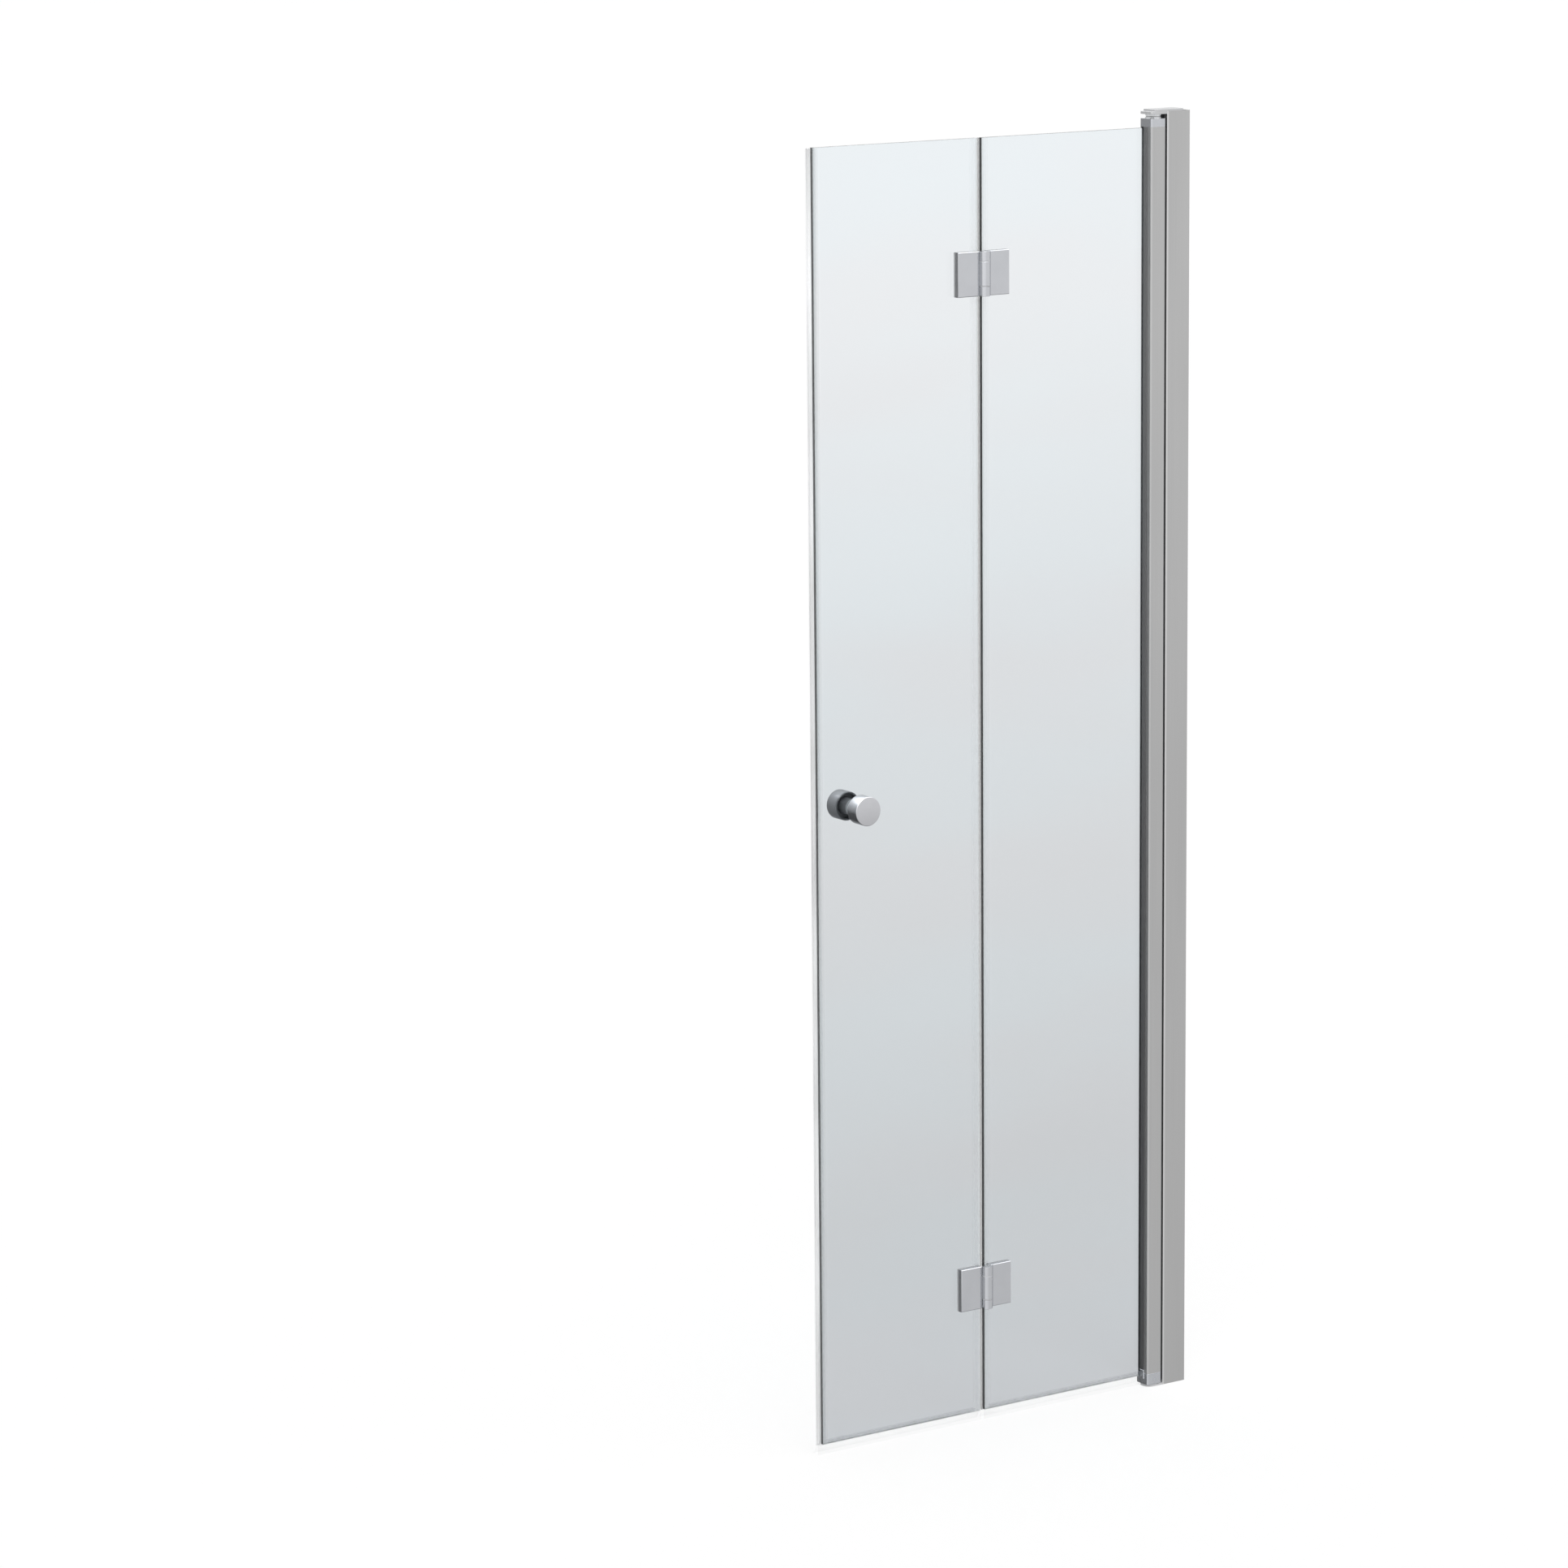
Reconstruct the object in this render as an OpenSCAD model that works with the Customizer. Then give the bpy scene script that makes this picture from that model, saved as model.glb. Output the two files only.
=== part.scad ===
// Bifold shower door: two clear panes that fold on glass-to-glass hinges,
// hung on a pivot profile beside a wall profile.
// X runs along the closed door towards the wall, Y into the shower, Z up.
// The origin is at tray level, on the middle plane of the glass, halfway across the door.

/* [Overall] */
// Overall width, from the wall to the face of the closing seal
door_w = 673; // [560:1:900]
// Overall height, from the tray to the top of the upper bracket
overall_h = 1950; // [1600:1:2200]

/* [Glass] */
// Thickness of both panes
glass_t = 6; // [5:0.5:8]
// Height of the lower edge of the glass above the tray
glass_bottom = 15; // [14:0.5:18]
// Drop from the top of the door to the upper edge of the glass
glass_top_drop = 27; // [25:0.5:28]
// Gap between the two panes at the fold
fold_gap = 8; // [7:0.5:10]
// How much more of the inner pane shows than of the outer pane
inner_extra = 8.5; // [6:0.5:20]
// Depth of the inner pane inside the pivot profile
glass_grip = 15; // [12:0.5:16]

/* [Profiles] */
// Width of the wall profile, away from the wall
wall_profile_w = 42; // [38:1:60]
// Width of the pivot profile
pivot_w = 27; // [26:0.5:36]
// Gap between the pivot profile and the wall profile
pivot_gap = 2.5; // [2:0.1:4]
// Distance of the glass behind the front face of the profiles
glass_setback = 18; // [16:0.5:24]
// Wall thickness of the aluminium profiles
profile_t = 1.8; // [1.5:0.1:2.2]
// Width of the adjusting profile inside the wall profile
adjust_w = 30; // [28:1:32]
// Play between the adjusting profile and the wall profile, each side
adjust_play = 0.2; // [0.1:0.05:0.3]
// Clearance of the turning profile to the wall profile
swing_clear = 0.3; // [0.2:0.1:0.5]

/* [Brackets and caps] */
// Thickness of the bracket covers at the very top and bottom
cover_t = 3; // [2.5:0.5:5]
// Thickness of the upper bracket arm under its cover
arm_t = 4; // [4:0.5:6]
// Gap between the top cap and the upper bracket
top_gap = 6.5; // [6:0.5:14]
// Height of the top cap
top_cap_h = 12; // [10:0.5:16]
// Gap between the bottom bracket and the bottom cap
bottom_gap = 0.45; // [0.4:0.05:1]
// Top of the bottom cap above the tray
bottom_cap_top = 21; // [19:0.5:26]
// Radius of the pivot pins
pivot_pin_r = 3.5; // [3:0.25:3.75]
// Radial clearance of a pin in its bush
pin_play = 0.05; // [0.02:0.01:0.1]

/* [Hinges] */
// Height of a hinge
hinge_h = 65; // [50:1:90]
// Distance from a pane's upper or lower edge to the middle of the hinge
hinge_inset = 195; // [120:1:400]
// Distance from the fold axis to the outer edge of a leaf
leaf_reach = 46; // [40:1:60]
// Thickness of a leaf
leaf_t = 7.4; // [6:0.2:9]
// Thickness of the pad between leaf and glass
pad_t = 3.2; // [2:0.1:4]
// Distance of the fold axis in front of the leaf faces
axis_proud = 2; // [1.5:0.1:3]
// Radius of the hinge barrel
barrel_r = 7.9; // [7:0.1:9]
// Radius of the hinge pin
hinge_pin_r = 3; // [2.5:0.1:3.5]
// Height of the middle knuckle
mid_knuckle_h = 35; // [24:1:40]

/* [Knob] */
// Distance of the knob from the free edge of the glass
knob_inset = 64; // [40:1:90]
// Height of the knob above the tray
knob_z = 966; // [800:1:1200]
// Diameter of the knob head
knob_d = 43; // [30:1:50]
// How far a knob stands off the glass
knob_reach = 36; // [28:1:45]
// Length of the knob head
knob_head_l = 23; // [18:1:26]
// Diameter of the knob neck
neck_d = 24; // [18:1:28]

/* [Seals] */
// Reach of the closing seal beyond the glass
edge_reach = 9; // [8:0.5:12]
// Thickness of the clear seal walls on the glass
seal_t = 1; // [0.8:0.1:1.2]
// Length of the seal legs on the glass at the free edge
edge_leg = 8; // [6:0.5:12]
// Length of the seal legs on the glass at the fold
fold_leg = 10.5; // [8:0.5:14]
// Height of the seal legs on the glass at the lower edge
drip_leg = 6; // [4:0.5:10]
// Clearance of the drip seal above the tray
tray_clear = 0.8; // [0.5:0.1:3]
// Reach of the drip fin into the shower, from the middle of the glass
drip_reach = 9; // [7:0.5:10]
// Thickness of the rubber between glass and pivot profile
gasket_t = 1.2; // [0.8:0.1:1.6]
// Width of the dark gasket lip on the side of the pivot profile
lip_w = 9; // [6:0.5:10]

/* [Fixings] */
// Distance from the end of the wall profile to the first wall screw hole
wall_hole_inset = 100; // [60:5:200]
// Radius of the wall screw holes
wall_hole_r = 2.75; // [2:0.25:4]
// Radius of the small profile screws
screw_r = 1.75; // [1.5:0.05:2]
// Head radius of the small countersunk screws
screw_head_r = 3.3; // [3:0.1:3.6]
// Spacing of the two glass screws in a hinge leaf
leaf_screw_pitch = 36; // [26:1:44]

/* [Hidden] */
$fn = 48;
// Overshoot of a cutting shape beyond what it cuts
cut = 1;
// Small rounding and bevel sizes
edge_r = 0.8;
bevel = 0.8;
// Light running gap between parts that pass each other
run_gap = 0.1;
// Front of the profiles, back of the profiles and middle plane of the glass at y = 0
half_t = glass_t / 2;
front_y = -half_t - glass_setback;
back_y = half_t + gasket_t + profile_t;
profile_d = back_y - front_y;
// Places along the door
wall_x = door_w / 2;
mouth_x = wall_x - wall_profile_w;
pivot_right_x = mouth_x - pivot_gap;
pivot_left_x = pivot_right_x - pivot_w;
pivot_x = pivot_left_x + pivot_w / 2;
pivot_y = (front_y + back_y) / 2;
swing_r = mouth_x - pivot_x - swing_clear;
free_x = -door_w / 2;
outer_x0 = free_x + edge_reach;
outer_w = (pivot_left_x - outer_x0 - fold_gap - inner_extra) / 2;
outer_x1 = outer_x0 + outer_w;
fold_x = outer_x1 + fold_gap / 2;
inner_x0 = outer_x1 + fold_gap;
inner_x1 = pivot_left_x + glass_grip;
// Heights
glass_top = overall_h - glass_top_drop;
arm_under = overall_h - cover_t - arm_t;
cap_top = arm_under - top_gap;
profile_top = cap_top - top_cap_h;
bottom_cap_z = cover_t + bottom_gap;
// Fold axis and hinges
leaf_y = -half_t - pad_t - leaf_t;
fold_y = leaf_y - axis_proud;
leaf_in = barrel_r + 0.2;
leaf_mid = (leaf_in + leaf_reach) / 2;
hinge_z = [glass_bottom + hinge_inset, glass_top - hinge_inset];
hinge_pin_play = 0.06;
hinge_washer_t = 0.8;
end_knuckle_z = mid_knuckle_h / 2 + hinge_washer_t + 2 * run_gap;
// Screws and pins through the glass
glass_hole_r = 5;
sink_r = 8;
sleeve_r = 3.1;
cone_t = 1;
stud_r = 3;
thread_depth = 4.5;
socket_r = 2.2;
socket_depth = 2;
// Knob pieces
knob_washer_t = 0.8;
knob_wall = 2.6;
knob_recess = 9;
stud_bite = 17;
// Screw ports in the corners of the pivot profile, measured from its faces
port_in = profile_t + 2.4;
port_r = 3;
port_xs = [pivot_left_x + port_in, pivot_right_x - port_in];
port_y = front_y + port_in;
cap_screw_l = 22;
// Corner radii of the pivot profile: front left, front right, back left
corner_fl = 3;
corner_fr = 3;
corner_bl = 1.5;
// Glass slot of the pivot profile
slot_half = half_t + gasket_t;
slot_end = inner_x1 + gasket_t + 0.3;
// Bracket screws, in line along the middle of the adjusting profile
adjust_x = mouth_x + 1;
bracket_screw_xs = [adjust_x + 7.5, adjust_x + adjust_w - 7.5];
bracket_screw_l = 18;
adjust_half = profile_d / 2 - profile_t - adjust_play;
adjust_wall = 1.6;
// Screws that lock the adjusting profile
lock_x = adjust_x + adjust_w / 2;
lock_inset = 120;
lock_zs = [lock_inset, overall_h / 2, overall_h - lock_inset];
lock_head_r = 3.5;
lock_head_h = 2.2;
lock_l = 7;
// Bushes
cone_gap = 0.5;
cone_h = (top_gap - cone_gap) / 2;
cone_wide = 12.2;
cone_slim = 10.8;
flange_r = 9.5;
bush_r = 6;
bush_depth = 5;
bottom_bush_r = 5;
bottom_bush_h = 11;
flange_t = 0.4;
arm_end_r = 13.2;
// Gasket in the gap beside the pivot profile
strip_y = front_y + profile_t + 1.2;
strip_w = 2.4;
strip_root = 2;
// Cap tongue beside the glass
tongue_t = 1.2;
tongue_z0 = 12;
tongue_z1 = 26;
// Seal shapes
web_t = 1.2;
fold_web_t = 1;
bulb_half = 2.6;
bulb_wall = 0.7;
bulb_gap = 0.3;
magnet_w = 4.6;
magnet_wall = 0.8;
fin_t = 1;
seal_end = 0.3;
hinge_notch = 0.5;

// Rectangle between two corners with radii at front left, front right, back right and back left
module plate2d(x0, y0, x1, y1, r = [0, 0, 0, 0]) {
    corners = [[x0, y0, 1, 1], [x1, y0, -1, 1], [x1, y1, -1, -1], [x0, y1, 1, -1]];
    difference() {
        translate([x0, y0]) square([x1 - x0, y1 - y0]);
        for (i = [0:3]) {
            if (r[i] > 0) {
                c = corners[i];
                translate([c[0], c[1]]) mirror([c[2] < 0 ? 1 : 0, 0]) mirror([0, c[3] < 0 ? 1 : 0])
                    difference() {
                        translate([-cut, -cut]) square(r[i] + cut);
                        translate([r[i], r[i]]) circle(r[i]);
                    }
            }
        }
    }
}

// Box between two heights on a flat outline
module bar(z0, z1) {
    translate([0, 0, z0]) linear_extrude(z1 - z0) children();
}

// Turned piece or hole whose axis points out of the shower from the middle of the glass
module outwards(x, z) {
    translate([x, 0, z]) rotate([90, 0, 0]) children();
}

// Turned piece whose axis points into the shower from the middle of the glass
module inwards(x, z) {
    translate([x, 0, z]) rotate([-90, 0, 0]) children();
}

// Outline of the pivot profile: three soft corners and an arc that clears the wall profile
module pivot_outline(inset = 0) {
    r = [corner_fl, corner_fr, 0, corner_bl];
    difference() {
        plate2d(pivot_left_x + inset, front_y + inset, pivot_right_x - inset, back_y - inset,
            [for (v = r) max(v - inset, 0)]);
        difference() {
            translate([pivot_x, pivot_y]) square(pivot_w);
            translate([pivot_x, pivot_y]) circle(swing_r - inset);
        }
    }
}

// Countersunk screw along Z, head at z = 0 and shank below
module sunk_screw(len, r = screw_r, head_r = screw_head_r) {
    difference() {
        union() {
            translate([0, 0, r - head_r]) cylinder(h = head_r - r, r1 = r, r2 = head_r);
            translate([0, 0, -len]) cylinder(h = len, r = r);
        }
        translate([0, 0, -r]) cylinder(h = r + cut, r = r * 0.6, $fn = 6);
    }
}

// Space for a countersunk screw, head at z = 0
module sunk_hole(len, r = screw_r, head_r = screw_head_r) {
    translate([0, 0, r - head_r]) cylinder(h = head_r - r, r1 = r, r2 = head_r);
    translate([0, 0, -len]) cylinder(h = len, r = r);
    cylinder(h = cut, r = head_r);
}

// ---- pieces fixed to the wall ----

module wall_profile() {
    z0 = 0;
    z1 = overall_h - cover_t;
    pitch = (z1 - z0 - 2 * wall_hole_inset) / 3;
    color("silver") difference() {
        bar(z0, z1) difference() {
            plate2d(mouth_x, front_y, wall_x, back_y, [edge_r, 0, 0, edge_r]);
            plate2d(mouth_x - cut, front_y + profile_t, wall_x - profile_t, back_y - profile_t);
        }
        for (i = [0:3]) {
            translate([wall_x - profile_t - cut, pivot_y, z0 + wall_hole_inset + i * pitch])
                rotate([0, 90, 0]) cylinder(h = profile_t + 2 * cut, r = wall_hole_r);
        }
        for (z = lock_zs) {
            translate([lock_x, back_y - profile_t - cut, z]) rotate([-90, 0, 0])
                cylinder(h = profile_t + 2 * cut, r = screw_r);
        }
    }
}

module adjust_profile() {
    x1 = adjust_x + adjust_w;
    color("gainsboro") difference() {
        bar(cover_t + arm_t, arm_under) difference() {
            union() {
                difference() {
                    plate2d(adjust_x, pivot_y - adjust_half, x1, pivot_y + adjust_half);
                    plate2d(adjust_x + adjust_wall, pivot_y - adjust_half + adjust_wall,
                        x1 - adjust_wall, pivot_y + adjust_half - adjust_wall);
                }
                plate2d(adjust_x, pivot_y - adjust_wall / 2, x1, pivot_y + adjust_wall / 2);
                for (x = bracket_screw_xs) translate([x, pivot_y]) circle(screw_r + 1.6);
            }
            for (x = bracket_screw_xs) translate([x, pivot_y]) circle(screw_r);
            plate2d(adjust_x - cut, strip_y, adjust_x + adjust_wall + cut, strip_y + strip_root);
        }
        for (z = lock_zs) {
            translate([lock_x, pivot_y + adjust_half - adjust_wall - cut, z]) rotate([-90, 0, 0])
                cylinder(h = adjust_wall + 2 * cut, r = screw_r);
        }
    }
}

module gap_gasket() {
    face_x = pivot_right_x + swing_clear;
    color("dimgray") bar(cover_t + arm_t, arm_under) {
        plate2d(face_x, strip_y + strip_root / 2 - strip_w / 2, adjust_x,
            strip_y + strip_root / 2 + strip_w / 2, [edge_r, 0, 0, edge_r]);
        plate2d(adjust_x - 0.2, strip_y, adjust_x + adjust_wall + 1, strip_y + strip_root);
    }
}

module bracket_screw_holes(top_z, flip) {
    for (x = bracket_screw_xs) translate([x, pivot_y, top_z]) mirror([0, 0, flip]) sunk_hole(bracket_screw_l);
}

module top_bracket() {
    top = overall_h;
    reach_x = adjust_x + adjust_w - 1;
    step_x = pivot_left_x + 6;
    color("lightgray") difference() {
        union() {
            bar(arm_under, top - cover_t)
                plate2d(pivot_left_x, front_y, mouth_x - run_gap, back_y, [corner_fl, 0, 0, corner_bl]);
            bar(arm_under, top - cover_t)
                plate2d(mouth_x - cut, pivot_y - adjust_half, reach_x, pivot_y + adjust_half);
            bar(top - cover_t, top) plate2d(step_x, front_y, reach_x, back_y, [0, edge_r, edge_r, 0]);
        }
        translate([pivot_x, pivot_y, arm_under - cut]) cylinder(h = bush_depth + cut, r = bush_r);
        bracket_screw_holes(top, 0);
    }
}

module bottom_bracket() {
    reach_x = adjust_x + adjust_w - 1;
    color("lightgray") difference() {
        union() {
            bar(0, cover_t) union() {
                translate([pivot_x, pivot_y]) circle(arm_end_r);
                plate2d(pivot_x, pivot_y - arm_end_r, mouth_x - run_gap, pivot_y + arm_end_r);
                plate2d(mouth_x - cut, pivot_y - adjust_half, reach_x, pivot_y + adjust_half);
            }
            bar(cover_t, cover_t + arm_t)
                plate2d(mouth_x + run_gap, pivot_y - adjust_half, reach_x, pivot_y + adjust_half);
        }
        translate([pivot_x, pivot_y, -cut]) cylinder(h = cover_t + 2 * cut, r = pivot_pin_r);
        bracket_screw_holes(0, 1);
    }
}

module top_bush() {
    color("whitesmoke") translate([pivot_x, pivot_y, arm_under]) difference() {
        union() {
            translate([0, 0, -cone_h]) cylinder(h = cone_h, r1 = cone_slim, r2 = cone_wide);
            cylinder(h = bush_depth, r = bush_r);
        }
        translate([0, 0, -cone_h - cut])
            cylinder(h = cone_h + bush_depth - 1 + cut, r = pivot_pin_r + pin_play);
    }
}

module bottom_pin() {
    color("silver") translate([pivot_x, pivot_y, 0])
        cylinder(h = cover_t + bottom_bush_h - 1, r = pivot_pin_r);
}

module bracket_screws() {
    color("silver") for (x = bracket_screw_xs) {
        translate([x, pivot_y, overall_h]) sunk_screw(bracket_screw_l);
        translate([x, pivot_y, 0]) mirror([0, 0, 1]) sunk_screw(bracket_screw_l);
    }
}

module adjust_screws() {
    color("silver") for (z = lock_zs) translate([lock_x, back_y, z]) rotate([-90, 0, 0]) difference() {
        union() {
            cylinder(h = lock_head_h, r1 = lock_head_r, r2 = lock_head_r - bevel);
            translate([0, 0, -lock_l]) cylinder(h = lock_l + run_gap, r = screw_r);
        }
        translate([0, 0, lock_head_h - 1]) cylinder(h = 1 + cut, r = 1.4, $fn = 6);
    }
}

// ---- pieces that turn on the wall pivot ----

module pivot_profile() {
    hollow_back = -slot_half - profile_t;
    color("silver") bar(bottom_cap_top, profile_top) difference() {
        pivot_outline();
        difference() {
            intersection() {
                pivot_outline(profile_t);
                union() {
                    plate2d(pivot_left_x, front_y, pivot_right_x, hollow_back);
                    plate2d(slot_end + profile_t, front_y, pivot_right_x, back_y);
                }
            }
            for (x = port_xs) translate([x, port_y]) circle(port_r);
        }
        for (x = port_xs) translate([x, port_y]) circle(screw_r);
        plate2d(pivot_left_x - cut, -slot_half, slot_end, slot_half);
    }
}

module cap_glass_slot(z0, z1) {
    bar(z0, z1) plate2d(pivot_left_x - 2 * tongue_t, -half_t - 0.2, inner_x1 + 0.3, half_t + 0.2);
}

module top_cap() {
    color("lightgray") difference() {
        union() {
            bar(profile_top, cap_top) pivot_outline();
            translate([pivot_x, pivot_y, cap_top]) cylinder(h = cone_h, r1 = cone_wide, r2 = cone_slim);
        }
        if (glass_top + 0.3 > profile_top) cap_glass_slot(profile_top - cut, glass_top + 0.3);
        translate([pivot_x, pivot_y, profile_top + 2])
            cylinder(h = top_cap_h + cone_h, r = pivot_pin_r);
        for (x = port_xs) translate([x, port_y, cap_top]) {
            sunk_hole(top_cap_h + cut);
            // Way in for the screw beside the collar
            cylinder(h = cone_h + cut, r = screw_head_r + 0.1);
        }
    }
}

module bottom_cap() {
    tongue_y0 = -half_t - lip_w;
    color("lightgray") difference() {
        union() {
            bar(bottom_cap_z, bottom_cap_top) pivot_outline();
            bar(tongue_z0, tongue_z1)
                plate2d(pivot_left_x - tongue_t, tongue_y0, pivot_left_x, -half_t - 0.2, [edge_r, 0, 0, 0]);
        }
        cap_glass_slot(glass_bottom - 0.2, bottom_cap_top + cut);
        translate([pivot_x, pivot_y, bottom_cap_z - cut])
            cylinder(h = bottom_bush_h + cut, r = bottom_bush_r);
        for (x = port_xs) translate([x, port_y, bottom_cap_z]) mirror([0, 0, 1])
            sunk_hole(bottom_cap_top - bottom_cap_z + cut);
    }
}

module top_pin() {
    z0 = profile_top + 2;
    z1 = arm_under + bush_depth - 1.5;
    color("silver") translate([pivot_x, pivot_y, z0]) cylinder(h = z1 - z0, r = pivot_pin_r);
}

module bottom_bush() {
    color("whitesmoke") translate([pivot_x, pivot_y, bottom_cap_z]) difference() {
        union() {
            cylinder(h = bottom_bush_h, r = bottom_bush_r);
            translate([0, 0, -flange_t]) cylinder(h = flange_t, r = flange_r);
        }
        translate([0, 0, -flange_t - cut])
            cylinder(h = bottom_bush_h + flange_t + cut - 0.8, r = pivot_pin_r + pin_play);
    }
}

module cap_screws() {
    color("silver") for (x = port_xs) {
        translate([x, port_y, cap_top]) sunk_screw(cap_screw_l);
        translate([x, port_y, bottom_cap_z]) mirror([0, 0, 1]) sunk_screw(cap_screw_l + 4);
    }
}

module glazing_gasket() {
    lip_t = 1;
    color("dimgray") {
        bar(bottom_cap_top, profile_top) difference() {
            plate2d(pivot_left_x, -slot_half, slot_end - 0.3, slot_half);
            plate2d(pivot_left_x - cut, -half_t, inner_x1, half_t);
        }
        bar(tongue_z1 + run_gap, profile_top)
            plate2d(pivot_left_x - lip_t, -half_t - lip_w, pivot_left_x, -half_t, [edge_r, 0, 0, 0]);
    }
}

// ---- panes and their seals ----

// Countersunk holes through a pane for the hinge screws of one side
module leaf_holes(side) {
    for (zc = hinge_z) for (s = [-1, 1]) {
        outwards(fold_x + side * leaf_mid, zc + s * leaf_screw_pitch / 2) {
            translate([0, 0, -half_t - cut]) cylinder(h = glass_t + 2 * cut, r = glass_hole_r);
            translate([0, 0, -half_t]) cylinder(h = sink_r - glass_hole_r, r1 = sink_r, r2 = glass_hole_r);
        }
    }
}

module inner_glass() {
    color("lightcyan") difference() {
        bar(glass_bottom, glass_top) plate2d(inner_x0, -half_t, inner_x1, half_t);
        leaf_holes(1);
    }
}

module outer_glass() {
    color("lightcyan") difference() {
        bar(glass_bottom, glass_top) plate2d(outer_x0, -half_t, outer_x1, half_t);
        leaf_holes(-1);
        outwards(outer_x0 + knob_inset, knob_z) translate([0, 0, -half_t - cut])
            cylinder(h = glass_t + 2 * cut, r = glass_hole_r);
    }
}

// Clip-on seal at the fold, for the pane on the left of the gap
module fold_seal_left() {
    y = half_t + seal_t;
    web_x = outer_x1 + fold_web_t;
    tip_x = fold_x - bulb_gap / 2;
    difference() {
        bar(glass_bottom, glass_top) union() {
            difference() {
                plate2d(outer_x1 - fold_leg, -y, web_x, y, [0, edge_r, edge_r, 0]);
                plate2d(outer_x1 - fold_leg - cut, -half_t, outer_x1, half_t);
            }
            difference() {
                plate2d(web_x - 0.2, -bulb_half, tip_x, bulb_half, [0, edge_r, edge_r, 0]);
                plate2d(web_x, -bulb_half + bulb_wall, tip_x - bulb_wall, bulb_half - bulb_wall);
            }
        }
        for (zc = hinge_z) bar(zc - hinge_h / 2 - hinge_notch, zc + hinge_h / 2 + hinge_notch)
            plate2d(outer_x1 - fold_leg - cut, -y - cut, web_x + cut, -half_t);
    }
}

module outer_fold_seal() {
    color("azure") fold_seal_left();
}

module inner_fold_seal() {
    color("azure") translate([fold_x, 0, 0]) mirror([1, 0, 0]) translate([-fold_x, 0, 0]) fold_seal_left();
}

// Clip-on seal under a pane, with legs on the glass between leg0 and leg1
module drip_seal(x0, x1, leg0, leg1) {
    y = half_t + seal_t;
    web_z = glass_bottom - web_t;
    color("azure") {
        translate([x0, 0, 0]) rotate([90, 0, 90]) linear_extrude(x1 - x0) union() {
            translate([-y, web_z]) square([2 * y, web_t]);
            translate([-half_t, tray_clear]) square([fin_t, web_z - tray_clear + 0.2]);
            polygon([[half_t - fin_t, web_z + 0.2], [half_t + 0.4, web_z + 0.2],
                [drip_reach, tray_clear + 2], [drip_reach - 1.2, tray_clear + 1.6]]);
        }
        for (s = [-1, 1]) translate([leg0, s > 0 ? half_t : -y, web_z])
            cube([leg1 - leg0, seal_t, web_t + drip_leg]);
    }
}

module outer_drip_seal() {
    drip_seal(free_x, outer_x1 + fold_web_t, outer_x0 + edge_leg + seal_end, outer_x1 - fold_leg - seal_end);
}

module inner_drip_seal() {
    end_x = pivot_left_x - tongue_t - seal_end;
    drip_seal(inner_x0 - fold_web_t, end_x, inner_x0 + fold_leg + seal_end, end_x);
}

module edge_seal() {
    y = half_t + seal_t;
    box_half = half_t + seal_t / 2;
    color("azure") bar(glass_bottom, glass_top) difference() {
        union() {
            plate2d(outer_x0 - web_t, -y, outer_x0 + edge_leg, y, [edge_r, 0, 0, edge_r]);
            plate2d(free_x, -box_half, outer_x0, box_half, [edge_r, 0, 0, edge_r]);
        }
        plate2d(outer_x0, -half_t, outer_x0 + edge_leg + cut, half_t);
        plate2d(free_x + magnet_wall, -box_half + magnet_wall, outer_x0 - web_t, box_half - magnet_wall);
    }
}

module magnet_strip() {
    x0 = free_x + magnet_wall;
    m_half = half_t + seal_t / 2 - magnet_wall;
    color("gray") bar(glass_bottom + 1, glass_top - 1) plate2d(x0, -m_half, x0 + magnet_w, m_half);
}

// ---- hinges ----

// Flat outline of a leaf or pad seen from above, left of the fold axis, with bevelled front edges
module leaf_plan(y0, y1, b) {
    x0 = fold_x - leaf_reach;
    x1 = fold_x - leaf_in;
    polygon([[x0, y1], [x0, y0 + b], [x0 + b, y0], [x1, y0], [x1, y1]]);
}

// Side view of a leaf, with bevelled front edges
module leaf_side(y0, y1, b) {
    h = hinge_h / 2;
    polygon([[y1, -h], [y1, h], [y0 + b, h], [y0, h - b], [y0, b - h], [y0 + b, -h]]);
}

module leaf_plate(y0, y1, b) {
    intersection() {
        bar(-hinge_h / 2, hinge_h / 2) leaf_plan(y0, y1, b);
        translate([fold_x - leaf_reach - cut, 0, 0]) rotate([90, 0, 90]) linear_extrude(leaf_reach + 2 * cut)
            leaf_side(y0, y1, b);
    }
}

// Knuckle between two heights with the web that joins it to the leaf on the left
module knuckle(z0, z1) {
    translate([fold_x, fold_y, z0]) cylinder(h = z1 - z0, r = barrel_r);
    bar(z0, z1) plate2d(fold_x - leaf_in - cut, leaf_y, fold_x, leaf_y + leaf_t * 0.7);
}

// Thread in the back of a leaf for its glass screws
module leaf_threads() {
    for (s = [-1, 1]) outwards(fold_x - leaf_mid, s * leaf_screw_pitch / 2)
        translate([0, 0, half_t + pad_t - cut]) cylinder(h = thread_depth + cut, r = stud_r);
}

module outer_leaf(zc) {
    color("silver") translate([0, 0, zc]) difference() {
        union() {
            leaf_plate(leaf_y, leaf_y + leaf_t, bevel);
            knuckle(-mid_knuckle_h / 2, mid_knuckle_h / 2);
        }
        translate([fold_x, fold_y, -hinge_h]) cylinder(h = 2 * hinge_h, r = hinge_pin_r + hinge_pin_play);
        leaf_threads();
    }
}

module inner_leaf(zc) {
    color("silver") translate([fold_x, 0, zc]) mirror([1, 0, 0]) translate([-fold_x, 0, 0]) difference() {
        union() {
            leaf_plate(leaf_y, leaf_y + leaf_t, bevel);
            knuckle(end_knuckle_z, hinge_h / 2);
            knuckle(-hinge_h / 2, -end_knuckle_z);
        }
        translate([fold_x, fold_y, -hinge_h]) cylinder(h = 2 * hinge_h, r = hinge_pin_r);
        leaf_threads();
    }
}

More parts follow.
